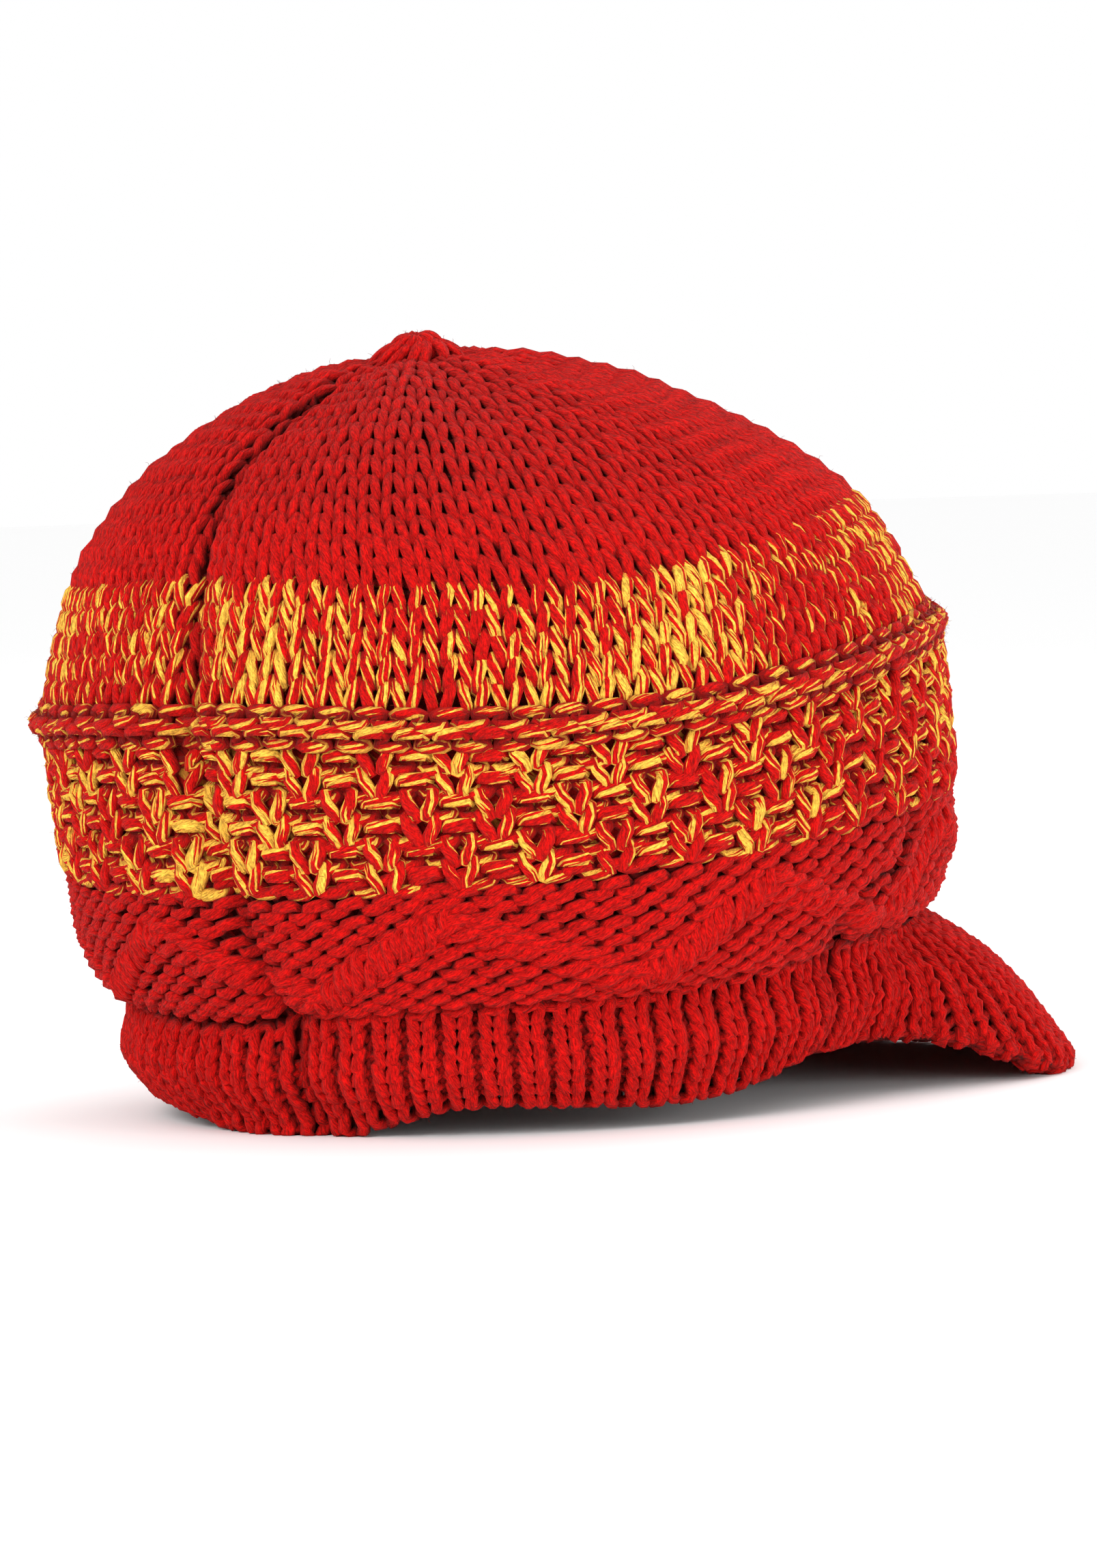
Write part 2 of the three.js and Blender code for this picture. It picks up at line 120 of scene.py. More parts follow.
# Band, share of its height, shares of the back, side and front reach, lean back and left
SECTIONS = [
    ("rib", 0.0, 0.845, 0.81, 0.82, 0.0, 0.0),
    ("rib", 0.5, 0.91, 0.872, 0.86, 0.0, 0.0),
    ("cable", 0.0, 0.888, 0.853, 0.892, 0.0, 0.0),
    ("cable", 0.16, 0.928, 0.92, 0.964, 0.0, 0.0),
    ("cable", 0.55, 0.973, 0.963, 1.005, 0.0, 0.0),
    ("basket", 0.0, 0.99, 0.984, 1.009, 0.0, 0.0),
    ("basket", 0.5, 0.997, 0.995, 1.0, 0.0, 0.0),
    ("ridge", 0.0, 1.0, 1.0, 0.977, 0.0, 0.0),
    ("marl", 0.0, 0.989, 0.991, 0.941, 0.0, 0.0),
    ("crown", 0.0, 0.93, 0.873, 0.815, 0.0, 0.0),
    ("crown", 0.31, 0.845, 0.761, 0.68, 0.01, 0.005),
    ("crown", 0.63, 0.652, 0.588, 0.495, 0.03, 0.02),
    ("crown", 0.85, 0.41, 0.388, 0.35, 0.05, 0.035),
    ("crown", 0.965, 0.2, 0.195, 0.19, 0.06, 0.045),
    ("crown", 1.0, 0.0, 0.0, 0.0, 0.06, 0.045),
]

# Turn in degrees, then how the hem and the top of the rib wander, as shares of its height
RIB_WAVES = [
    (-150, 0.0, 0.05), (-110, 0.03, 0.05), (-70, 0.0, 0.06), (-35, 0.06, -0.02),
    (-12, -0.04, -0.08), (6, -0.22, -0.02), (17, -0.03, 0.13), (34, 0.15, 0.14),
    (50, 0.07, 0.09), (72, -0.05, 0.06), (95, 0.06, 0.04), (115, 0.01, 0.05),
    (150, 0.0, 0.05),
]

# From the peak's centre to its corner: share of the spread, of the reach and of the fall
PEAK_EDGE = [
    (0.0, 1.0, 1.0), (0.39, 0.93, 1.06), (0.56, 0.83, 0.96), (0.7, 0.67, 0.68),
    (0.81, 0.4, 0.3), (0.9, 0.17, 0.08), (1.0, 0.0, 0.0),
]

# Creases above the peak's corners: turn, share up the cable band, width in degrees,
# height as a share of the band and depth as a share of the wall
CREASES = [(106, 0.24, 6, 0.25, 0.6), (117, 0.56, 6, 0.3, 0.7), (-110, 0.3, 6, 0.3, 0.6)]

# The sharp fold above the peak's corner on the wearer's right: shares up the cable band and its
# turns in degrees there, its depth and width, and the share of the light that it takes away
CREASE_LINE = ((0.0, 0.43, 0.68, 1.0), (96.3, 94.6, 109.4, 112.0))
CREASE_FOLD_DEPTH = 3.8
CREASE_FOLD_WIDTH = 3.3
CREASE_SHADE = 0.9
RIB_CREASE_DEPTH = 1.2
RIB_CREASE_SHADE = 0.7

BASKET_SWAY = 0.07
RIDGE_SWAY = 0.3
MARL_SWAY = 0.136

# The zigzag cable: repeats round the cap, turn of its first low point and its shape
CABLE_REPEATS = 8
CABLE_FIRST_LOW = math.radians(14.5)
CABLE_RISE_SHARE = 0.41
CABLE_LOW = 0.24
CABLE_HIGH = 0.78

# The cable's long stitches lie in two lanes, one on each side of its line. Each slope has the
# angles of its lanes in degrees and the stitches' length. They stray aside, up, in length and
# in angle
LEAF_COUNT = 10
LEAF_LANES = (-1.4, 1.4)
LEAF_RISING = ((62, 50), 9.5)
LEAF_FALLING = ((-14, -34), 11.5)
LEAF_RADIUS = 1.5
LEAF_HEIGHT = 1.7
LEAF_TUCK = 1.6
LEAF_CURL = 0.12
LEAF_ROUND = 0.7
LEAF_TIP = 0.45
LEAF_STRAY = (0.004, 0.01, 0.06, 0.05)

# Courses in each band
COURSES = {"cable": 8, "basket": 6, "ridge": 2, "marl": 5}
TIER_COURSES = 2

# A plain loop, in loop units: how far its legs lean, how tall it is and how square its bend
LOOP_LEAN = 0.25
LOOP_TALL = 0.8
LOOP_SQUARE = 0.35

# Each piece's own loops: how deep they bow, and where they differ from the plain loop
LOOPS = {
    "rib": {"depth": 1.0, "lean": 0.185, "tall": 0.82, "square": 0.1},
    "edge": {"depth": 0.8},
    "cable": {"depth": 1.25, "tall": 0.78, "square": 0.25, "slant": 0.12},
    "basket": {"depth": 1.3, "purl_tall": 0.27},
    "ridge": {"depth": 0.8, "tall": 0.36},
    "marl": {"depth": 1.5, "lean": 0.22},
    "crown": {"depth": 1.35, "lean": 0.21, "tall": 0.84},
}

# Radius of the yarn as it is drawn into loops, as shares of its thickness or in millimetres
MARL_YARN = 0.41
RIDGE_YARN = 0.42
BASKET_YARN = 0.44
CROWN_YARN = 0.41
CROWN_YARN_PITCH = 0.255
CABLE_YARN = 1.46
RIB_YARN = 1.45
PEAK_YARN = 1.35

# Where the fabric's middle lies under the skin, how much deeper the rib's is, and how far from
# the middle the yarn has to be for the full light
MIDDLE = -2.0
RIB_SUNK = 0.3
WELL = 2.3
BASKET_WELL = 1.5

# How far stitches stray: as shares of a loop, and of the ribbing's loops across and along, then
# in and out in millimetres
STRAY = 0.05
RIB_STRAY = 0.03
RIB_ROW_STRAY = 0.06
LIFT_STRAY = 0.12

# Ribs: how wide a pair of wales is, how far the knit one spreads and how far it stands out
RIB_PITCH = 7.2
RIB_SPREAD = 0.23
RIB_PROUD = 1.15

# The crown's courses and its web end short of the apex. Two wales of each flute are dropped
# whenever they would be narrower than the least wale, down to the least number of them
CROWN_COURSES_END = 7.0
CROWN_WEB_END = 3.0
LEAST_WALE = 4.3
LEAST_WALES = 3

# The peak's rows: how much taller than the rib's, and where the last stitch ends before the edge
PEAK_ROW = 1.1
PEAK_LAST = 1.5
PEAK_ROLLS = (25, 90, 155)

# The inner web, a sheet behind the loops that is painted in shade: its rows and columns, how deep it lies,
# how thick it is and how much shade is painted on it
WEB_ROWS = {
    "rib": 8, "peak": 40, "cable": 9, "basket": 6, "ridge": 6, "marl": 4, "crown": 24,
}
WEB_COLUMNS = 168
PEAK_WEB_COLUMNS = 60
WEB_DEPTH = -3.4
RIB_WEB_DEPTH = -3.2
MARL_WEB_DEPTH = -3.1
BASKET_WEB_DEPTH = -2.6
WEB_THICKNESS = 0.0006
MARL_WEB_SHADE = 0.8
BASKET_WEB_SHADE = 0.7
CABLE_WEB_DROP = 2.5

# The rib's web hangs lower, by a share of the rib's height, near these turns in degrees
RIB_WEB_DROP = 0.05
RIB_WEB_DROP_TURN = 100
RIB_WEB_DROP_REACH = 12

# The peak's web: thinner than the peak, tucked in at the rib, longer at the corners and
# shorter in the middle
PEAK_WEB_INSET = 5.2
PEAK_WEB_LEAST = 0.2
PEAK_WEB_TUCK = 0.05
PEAK_WEB_LONGER = 0.1
PEAK_WEB_SHORTER = 0.07

# The web's patch of the bake's square: its left, low, wide and high, and its length as yarn
WEB_PATCH = (0.01, 0.9, 0.98, 0.09)
WEB_YARN = 600

# The gather: how many stitches a tier has, and each tier's outer and inner reach, height and radius
GATHER_COUNT = 14
GATHER_TIERS = ((10.5, 1.5, 1.6, 1.5), (6.5, 0.6, 3.2, 1.4))
GATHER_FALL = 3.2
GATHER_CURL = 0.5
# How far the gather's yarn is taken to bow over the fabric's middle, which sets only the shade painted on
# it
GATHER_BOW = 1.5
GATHER_STRAY = 0.08
GATHER_LIFT_STRAY = 0.25

# Loose fibres: how many on a piece, their length and radius, and how far down between the loops
# they start at most
FUZZ_COUNT = 1500
CROWN_FUZZ = 2600
PEAK_FUZZ = 900
GATHER_FUZZ = 120
FUZZ_LENGTH = (0.5, 1.5)
FUZZ_RADIUS = 0.045
FUZZ_TAPER = (1.0, 0.8, 0.4)
FUZZ_SHALLOW = 0.5

# Camera as measured in the photograph, in degrees, and the point that it looks past
CAMERA_TURN = 219.8
CAMERA_RISE = 1.9
CAMERA_ROLL = -1.3
CAMERA_TILT = 0.833
CAMERA_AWAY = 1.6
CAMERA_MARK = Vector((0.0, 0.01727, 0.09003))
CAMERA_OFFSET = (0.00951, -0.0218)
FRAME_HEIGHT = 0.33866
SENSOR = 24.0

# The stage, in metres and watts
FLOOR_RADIUS = 6.0
FLOOR_COLOUR = (0.97, 0.97, 0.97, 1.0)
LIGHT_AIM = Vector((0.0, 0.0, 0.08))


class SmoothTable:
    """Rows of numbers joined by smooth curves."""

    def __init__(self, places, values):
        self.places = np.asarray(places, float)
        self.values = np.asarray(values, float)
        slopes = np.diff(self.values, axis=0) / np.diff(self.places)[:, None]
        self.tangents = np.vstack([slopes[:1], (slopes[1:] + slopes[:-1]) / 2, slopes[-1:]])

    def at(self, place):
        place = np.clip(place, self.places[0], self.places[-1])
        row = np.clip(np.searchsorted(self.places, place, "right") - 1, 0, len(self.places) - 2)
        span = (self.places[row + 1] - self.places[row])[..., None]
        t = (place - self.places[row])[..., None] / span
        leave, arrive = (1 + 2 * t) * (1 - t) ** 2, t * t * (3 - 2 * t)
        rise, fall = t * (1 - t) ** 2 * span, t * t * (t - 1) * span
        start = leave * self.values[row] + rise * self.tangents[row]
        end = arrive * self.values[row + 1] + fall * self.tangents[row + 1]
        return np.moveaxis(start + end, -1, 0)


def measure_sections():
    rows = []
    base = dict(zip(BAND_HEIGHTS, np.cumsum([0.0, *BAND_HEIGHTS.values()])))
    for band, share, back, side, front, lean_back, lean_left in SECTIONS:
        height = base[band] + share * BAND_HEIGHTS[band]
        reach = side * SIDE_REACH
        along = rows[-1][0] + math.hypot(height - rows[-1][1], reach - rows[-1][3]) if rows else 0.0
        rows.append((
            along, height, back * BACK_REACH, reach, front * FRONT_REACH,
            lean_back * BACK_REACH, lean_left * SIDE_REACH,
        ))
    return np.array(rows)


section_rows = measure_sections()
SKIN = SmoothTable(section_rows[:, 0], section_rows[:, 1:])
APEX = section_rows[-1, 0]
BAND_START = {row[0]: section_rows[i, 0] for i, row in enumerate(SECTIONS) if row[1] == 0.0}
WAVES = SmoothTable(
    [turn + shift for shift in (-360, 0, 360) for turn, _, _ in RIB_WAVES],
    [(hem, top) for _ in range(3) for _, hem, top in RIB_WAVES],
)
PEAK_TABLE = SmoothTable([row[0] for row in PEAK_EDGE], [row[1:] for row in PEAK_EDGE])


def bump(distance, width):
    return np.exp(-((distance / width) ** 2))


def turn_between(turn, centre):
    return (turn - centre + math.pi) % (2 * math.pi) - math.pi


def unit(vectors):
    return vectors / np.maximum(np.linalg.norm(vectors, axis=-1, keepdims=True), 1e-9)


def skin(turn, along):
    """A point of the cap's outer skin, without the knitting's relief."""
    turn, along = np.broadcast_arrays(turn, along)
    height, back, side, front, lean_back, lean_left = SKIN.at(np.maximum(along, 0.0))
    reach = np.where(np.cos(turn) > 0, back, front)
    return np.stack([
        lean_left - side * np.sin(turn),
        lean_back + reach * np.cos(turn),
        height + np.minimum(along, 0.0),
    ], axis=-1)


def skin_normal(turn, along):
    turn, along = np.broadcast_arrays(turn, along)
    aside, above = 0.01, 0.5
    across = skin(turn + aside, along) - skin(turn - aside, along)
    upwards = skin(turn, along + above) - skin(turn, along - above)
    normal = unit(np.cross(across, upwards))
    return np.where((along > APEX - APEX_FLAT)[..., None], np.array([0.0, 0.0, 1.0]), normal)


def rib_edge(turn):
    return WAVES.at(np.degrees(turn_between(turn, 0.0)))[0] * RIB_HEIGHT


def cable_edge(turn):
    return BAND_START["cable"] + WAVES.at(np.degrees(turn_between(turn, 0.0)))[1] * RIB_HEIGHT


def basket_edge(turn):
    return BAND_START["basket"] + 0.0 * turn


def ridge_edge(turn):
    return BAND_START["ridge"] + BASKET_SWAY * BASKET_HEIGHT * np.cos(3 * turn)


def marl_edge(turn):
    return BAND_START["marl"] + RIDGE_SWAY * RIDGE_HEIGHT * np.cos(3 * turn)


def crown_edge(turn):
    return BAND_START["crown"] + MARL_SWAY * MARL_HEIGHT * np.cos(3 * turn)


def seam_away(turn, band, share):
    """How far a turn lies from the back seam, which slants across the bands."""
    low, high = SEAM_LINE[band]
    return turn_between(turn, np.radians(low + share * (high - low)))


def seam_dent(turn, band, share, fold=SEAM_FOLD_DEPTH):
    away = seam_away(turn, band, share)
    return -SEAM_DEPTH * bump(away, SEAM_WIDTH) - fold * bump(away, SEAM_FOLD)


def seam_light(turn, band, share):
    """Less light reaches the yarn down in the seam."""
    return 1 - SEAM_SHADE * bump(seam_away(turn, band, share), SEAM_FOLD)


def crease_fold(turn, share):
    """The sharp fold that runs up the cable band above the peak's corner on the wearer's right."""
    across = np.degrees(turn_between(turn, 0.0)) - np.interp(share, *CREASE_LINE)
    return bump(across, CREASE_FOLD_WIDTH)


def cable_light(turn, share):
    return seam_light(turn, "cable", share) * (1 - CREASE_SHADE * crease_fold(turn, share))


def crease_relief(turn, share):
    relief = seam_dent(turn, "cable", share) - CREASE_FOLD_DEPTH * crease_fold(turn, share)
    for centre, up, wide, tall, deep in CREASES:
        across = np.degrees(turn_between(turn, math.radians(centre)))
        relief = relief - deep * WALL * bump(across, wide) * bump(share - up, tall)
    return relief


def cable_relief(turn, share):
    return crease_relief(turn, share) - CABLE_SUNK


def basket_relief(turn, share):
    return seam_dent(turn, "basket", share) + BASKET_PROUD


def ridge_relief(turn, share):
    profile = np.clip(1 - (2 * share - 1) ** 4, 0, 1)
    return RIDGE_PROUD * profile + seam_dent(turn, "ridge", share)


def marl_relief(turn, share):
    return seam_dent(turn, "marl", share)


def crown_fold(turn, share):
    """The sharp fold of the seam, which drifts to the left on its way up the crown."""
    width = CROWN_FOLD_WIDTH * SEAM_FOLD / np.maximum(1 - CROWN_NARROWS * share, CROWN_NARROWEST)
    fade = np.clip(CROWN_FOLD_FADE * (CROWN_FOLD_END - share), 0, 1)
    return bump(seam_away(turn, "crown", share), width) * fade


def crown_relief(turn, share):
    wave = np.cos(FLUTES * (turn - SEAM_TURN)) + 1
    flute = -0.5 * FLUTE_DEPTH * wave * bump(share - FLUTE_PLACE, FLUTE_REACH)
    dent = seam_dent(turn, "crown", share, fold=0.0) * (1 - share)
    return flute + dent - CROWN_FOLD_DEPTH * crown_fold(turn, share)


# Each band's lower and upper edge and its relief
BANDS = {
    "cable": (cable_edge, basket_edge, cable_relief),
    "basket": (basket_edge, ridge_edge, basket_relief),
    "ridge": (ridge_edge, marl_edge, ridge_relief),
    "marl": (marl_edge, crown_edge, marl_relief),
}


def even_turns(level, first, last, steps=720):
    """Turns spaced evenly along the knitting, so that every stitch is as wide as the next."""
    turns = np.linspace(first, last, steps + 1)
    points = skin(turns, np.full_like(turns, level))
    length = np.concatenate([[0.0], np.cumsum(np.linalg.norm(np.diff(points, axis=0), axis=1))])
    return length / length[-1], turns


ROUND_SHARES, ROUND_TURNS = even_turns(BAND_START["ridge"], SEAM_TURN, SEAM_TURN + 2 * math.pi)


def round_turn(share):
    """The turn at a share of the way round the cap from the back seam."""
    whole = np.floor(share)
    return np.interp(share - whole, ROUND_SHARES, ROUND_TURNS) + 2 * math.pi * whole


def settle(points):
    """From the cap's own upright millimetres to metres where it rests."""
    cos, sin = math.cos(-REST_LEAN), math.sin(-REST_LEAN)
    lean = np.array([[1.0, 0.0, 0.0], [0.0, cos, -sin], [0.0, sin, cos]])
    rested = points @ lean.T + REST_SHIFT
    rested[..., 2] = np.maximum(rested[..., 2], REST_CLEAR)
    return rested * MM


class Fabric:
    """Strands of yarn gathered into one mesh."""

    LIMIT = 0.88

    def __init__(self, well=WELL):
        self.well = well
        self.points = []
        self.rings = []
        self.sunk_shade = []
        self.faces = []
        self.yarn = []
        self.cells = []
        self.caps = []
        self.count = 0
        self.cell_count = 0

    def add(self, paths, normals, radius, bow, stitch, closed, sides=6, seed=0, one_cell=False):
        """Sweep a round yarn along each path; bow is its height over the fabric's middle, which sets only
        the shade painted on the yarn.
        """
        strands, length = paths.shape[:2]
        rng = np.random.default_rng(seed)
        if closed:
            ahead = np.roll(paths, -1, axis=1) - np.roll(paths, 1, axis=1)
        else:
            ahead = np.gradient(paths, axis=1)
        tangent = unit(ahead)
        beside = unit(np.cross(tangent, normals))
        outward = np.cross(beside, tangent)
        angle = 2 * math.pi * np.arange(sides) / sides
        radius = np.broadcast_to(radius, paths.shape[:2])[..., None, None]
        out, aside = np.cos(angle)[:, None], np.sin(angle)[:, None]
        ring = out * outward[:, :, None, :] + aside * beside[:, :, None, :]
        points = paths[:, :, None, :] + radius * ring
        # Painted shade: the nearer the yarn lies to the fabric's middle, the more shade is painted on it
        height = np.broadcast_to(bow, paths.shape[:2])[..., None] + radius[..., 0] * np.cos(angle)
        sunk_shade = np.clip(1 - np.abs(height) / self.well, 0.0, 1.0)

        step = np.linalg.norm(np.roll(paths, -1, axis=1) - paths, axis=2)
        gone = np.concatenate([np.zeros((strands, 1)), np.cumsum(step, axis=1)], axis=1)
        gone = gone + rng.uniform(0, 400, (strands, 1))

        segments = length if closed else length - 1
        s = np.arange(strands)[:, None, None]
        i = np.arange(segments)[None, :, None]
        m = np.arange(sides)[None, None, :]
        s, i, m = np.broadcast_arrays(s, i, m)
        here = (s * length + i) * sides
        there = (s * length + (i + 1) % length) * sides
        up = (m + 1) % sides
        quads = np.stack([here + m, here + up, there + up, there + m], axis=-1) + self.count
        u_here, u_there = gone[s, i], gone[s, i + 1]
        yarn = np.stack([
            np.stack([u_here, m / sides], -1), np.stack([u_here, (m + 1) / sides], -1),
            np.stack([u_there, (m + 1) / sides], -1), np.stack([u_there, m / sides], -1),
        ], axis=-2)
        per_strand = math.ceil(segments / stitch)
        cell = self.cell_count + s * per_strand + i // stitch
        low, high = (i % stitch) / stitch, (i % stitch + 1) / stitch
        if one_cell:
            cell = self.cell_count + 0 * s
            low = (s + 0.9 * i / segments) / strands
            high = (s + 0.9 * (i + 1) / segments) / strands
        place = np.stack([
            np.stack([cell, low, m / sides], -1), np.stack([cell, low, (m + 1) / sides], -1),
            np.stack([cell, high, (m + 1) / sides], -1), np.stack([cell, high, m / sides], -1),
        ], axis=-2)
        if not closed:
            begin = np.arange(strands)[:, None] * length * sides + self.count
            first = begin + np.arange(sides)[::-1]
            last = begin + (length - 1) * sides + np.arange(sides)
            self.caps.extend([first, last])
        self.points.append(points.reshape(-1, 3))
        self.rings.append(ring.reshape(-1, 3))
        self.sunk_shade.append(sunk_shade.reshape(-1))
        self.faces.append(quads.reshape(-1, 4))
        self.yarn.append(yarn.reshape(-1, 2))
        self.cells.append(place.reshape(-1, 3))
        self.count += strands * length * sides
        self.cell_count += 1 if one_cell else strands * per_strand

    def add_fuzz(self, count, seed):
        """Short loose fibres that stand off the yarn."""
        rng = np.random.default_rng(seed)
        roots, away = np.concatenate(self.points), np.concatenate(self.rings)
        sunk_shade = np.concatenate(self.sunk_shade)
        chosen = rng.choice(np.flatnonzero(sunk_shade < FUZZ_SHALLOW), count)
        start, away = roots[chosen], away[chosen]
        stray = unit(rng.normal(0, 1, (count, 3)))
        length = rng.uniform(*FUZZ_LENGTH, (count, 1))
        middle = start + 0.5 * length * unit(away + 0.8 * stray)
        end = middle + 0.5 * length * unit(0.5 * away + 0.9 * unit(rng.normal(0, 1, (count, 3))))
        paths = np.stack([start - 0.1 * away, middle, end], axis=1)
        normals = unit(np.cross(unit(end - start), stray))[:, None, :]
        normals = np.broadcast_to(normals, paths.shape)
        radius = np.broadcast_to(FUZZ_RADIUS * np.array(FUZZ_TAPER), paths.shape[:2])
        # The loose fibres stand far enough out to get no painted shade
        bow = np.full(paths.shape[:2], self.well)
        self.add(paths, normals, radius, bow, 2, False, sides=3, seed=seed, one_cell=True)

    def build(self, name):
        points = settle(np.concatenate(self.points))
        quads = np.concatenate(self.faces)
        mesh = bpy.data.meshes.new(name)
        mesh.vertices.add(len(points))
        mesh.vertices.foreach_set("co", points.ravel())
        cap_loops = [cap.ravel() for cap in self.caps]
        cap_sizes = [np.full(cap.shape[0], cap.shape[1]) for cap in self.caps]
        loops = np.concatenate([quads.ravel(), *cap_loops])
        sizes = np.concatenate([np.full(len(quads), 4), *cap_sizes])
        starts = np.concatenate([[0], np.cumsum(sizes)[:-1]])
        mesh.loops.add(len(loops))
        mesh.loops.foreach_set("vertex_index", loops.astype(np.int32))
        mesh.polygons.add(len(sizes))
        mesh.polygons.foreach_set("loop_start", starts.astype(np.int32))
        mesh.polygons.foreach_set("loop_total", sizes.astype(np.int32))
        mesh.polygons.foreach_set("use_smooth", np.ones(len(sizes), bool))
        missing = len(loops) - quads.size
        yarn = np.concatenate([*self.yarn, np.zeros((missing, 2))])
        bake = np.concatenate([self.bake_places(), np.full((missing, 2), 0.999)])
        for label, values in (("Yarn", yarn), ("OFBake", bake)):
            layer = mesh.uv_layers.new(name=label)
            layer.data.foreach_set("uv", values.astype(np.float32).ravel())
        # How much shade is painted on each point of the yarn
        sunk_shade = mesh.attributes.new("sunk_shade", "FLOAT", "POINT")
        sunk_shade.data.foreach_set("value", np.concatenate(self.sunk_shade).astype(np.float32))
        mesh.update(calc_edges=True)
        return mesh

    def bake_places(self):
        """A cell of its own for each stitch, in rows that fill most of the square."""
        cells = np.concatenate(self.cells)
        columns = max(1, math.ceil(math.sqrt(self.cell_count / 2)))
        rows = math.ceil(self.cell_count / columns)
        margin = 0.04
        column, row = cells[:, 0] % columns, cells[:, 0] // columns
        u = (column + margin + (1 - 2 * margin) * cells[:, 1]) / columns
        v = (row + margin + (1 - 2 * margin) * cells[:, 2]) / rows
        return np.stack([u, v * self.LIMIT], axis=-1)


def wander(rng, rows, wales, points, size):
    """A slow random drift from stitch to stitch along each course."""
    knots = rng.normal(0.0, size, (rows, wales))
    place = np.arange(wales * points) / points
    left = place.astype(int)
    ease = (place - left) ** 2 * (3 - 2 * (place - left))
    return knots[:, left] * (1 - ease) + knots[:, (left + 1) % wales] * ease


def courses(pattern, points, depth, lean=LOOP_LEAN, tall=LOOP_TALL, purl_tall=None,
            square=LOOP_SQUARE, slant=0.0):
    """Knitting in loop units: wales across, rows up and the bow in and out of the fabric.

    The pattern holds a row for each course, +1 for a knit stitch and -1 for a purl stitch.
    """
    height = np.where(pattern > 0, tall, tall if purl_tall is None else purl_tall)
    rows, wales = pattern.shape
    t = np.tile(np.linspace(-math.pi, math.pi, points, endpoint=False), wales)
    wale = np.repeat(np.arange(wales), points)
    across = wale + 0.5 + t / (2 * math.pi) + lean * np.sin(2 * t)
    head = np.abs(t) < math.pi / 2
    neighbour = np.where(t > 0, (wale + 1) % wales, wale - 1)
    own = pattern[:, wale]
    end = np.where(head, own, (own + pattern[:, neighbour]) / 2)
    bow = depth * (np.sin(t) ** 2 * own - np.cos(t) ** 2 * end)
    swing = np.where(head, height[:, wale], (height[:, wale] + height[:, neighbour]) / 2)
    up = np.arange(rows)[:, None] + 0.5 + swing * np.cos(t) * (1 + square * np.sin(t) ** 2)
    up = up + slant * np.sin(2 * t)
    return np.broadcast_to(across, up.shape).copy(), up, bow


def knit_round(fabric, band, pattern, radius, seed, slip=0.0, twist=0.0):
    """Courses of loops all round the cap between a band's two edges."""
    rows, wales = pattern.shape
    points = 14
    low_edge, high_edge, relief = BANDS[band]
    rng = np.random.default_rng(seed)
    across, up, bow = courses(pattern, points, **LOOPS[band])
    across = across + wander(rng, rows, wales, points, STRAY)
    share = up / rows + wander(rng, rows, wales, points, STRAY) / rows
    turn = round_turn(across / wales) + twist * share
    low, high = low_edge(turn), high_edge(turn)
    along = low + share * (high - low) + slip * zigzag(turn)
    lift = MIDDLE + bow + relief(turn, share) + wander(rng, rows, wales, points, LIFT_STRAY)
    normal = skin_normal(turn, along)
    paths = skin(turn, along) + normal * lift[..., None]
    thick = radius * (1 + wander(rng, rows, wales, points, STRAY))
    # Shade is painted into the seam and the folds, by scaling down the bow that sets the painted shade
    light = cable_light(turn, share) if band == "cable" else seam_light(turn, band, share)
    fabric.add(paths, normal, thick, bow * light, points, True, seed=seed)


def zigzag(turn):
    """The cable's place at a turn: 0 at its low points and 1 at its high points."""
    repeat = 2 * math.pi / CABLE_REPEATS
    phase = ((turn - CABLE_FIRST_LOW) % repeat) / repeat
    return np.minimum(phase / CABLE_RISE_SHARE, (1 - phase) / (1 - CABLE_RISE_SHARE))


def web_behind(low_edge, high_edge, relief, depth=WEB_DEPTH):
    """Where the web lies behind the loops between two edges."""
    def place(x, y):
        turn = round_turn(x)
        low, high = low_edge(turn), high_edge(turn)
        along = low + y * (high - low)
        lift = depth + relief(turn, y)
        return skin(turn, along) + skin_normal(turn, along) * lift[:, None]

    return place


def add_web(mesh_object, place, rows, columns=WEB_COLUMNS, thickness=WEB_THICKNESS, shade=1.0):
    """The inner web of the knitting, a sheet painted in the shade colour, which closes the holes between
    its loops and stands for the shade seen through them.
    """
    bm = bmesh.new()
    bake = bm.loops.layers.uv.new("OFBake")
    yarn = bm.loops.layers.uv.new("Yarn")
    sunk_shade = bm.verts.layers.float.new("sunk_shade")
    bmesh.ops.create_grid(bm, x_segments=columns, y_segments=rows, size=0.5)
    left, low, wide, high = WEB_PATCH
    for face in bm.faces:
        face.smooth = True
        for loop in face.loops:
            x, y = loop.vert.co.x + 0.5, loop.vert.co.y + 0.5
            loop[bake].uv = (left + wide * x, low + high * y)
            loop[yarn].uv = (WEB_YARN * x, y)
    spots = np.array([vert.co[:2] for vert in bm.verts]) + 0.5
    points = place(spots[:, 0], spots[:, 1])
    for vert, point in zip(bm.verts, settle(points)):
        vert.co = point
        # The web is painted in shade, as much as shade gives
        vert[sunk_shade] = shade
    bmesh.ops.remove_doubles(bm, verts=bm.verts, dist=1e-5)
    bmesh.ops.recalc_face_normals(bm, faces=bm.faces)
    if thickness:
        bmesh.ops.solidify(bm, geom=bm.faces[:], thickness=thickness)
    web = bpy.data.meshes.new("web")
    bm.to_mesh(web)
    bm.free()
    web.materials.append(mesh_object.data.materials[0])
    join_mesh(mesh_object, web)


def join_mesh(mesh_object, mesh):
    extra = bpy.data.objects.new("extra", mesh)
    bpy.context.collection.objects.link(extra)
    bpy.ops.object.select_all(action="DESELECT")
    extra.select_set(True)
    mesh_object.select_set(True)
    bpy.context.view_layer.objects.active = mesh_object
    bpy.ops.object.join()


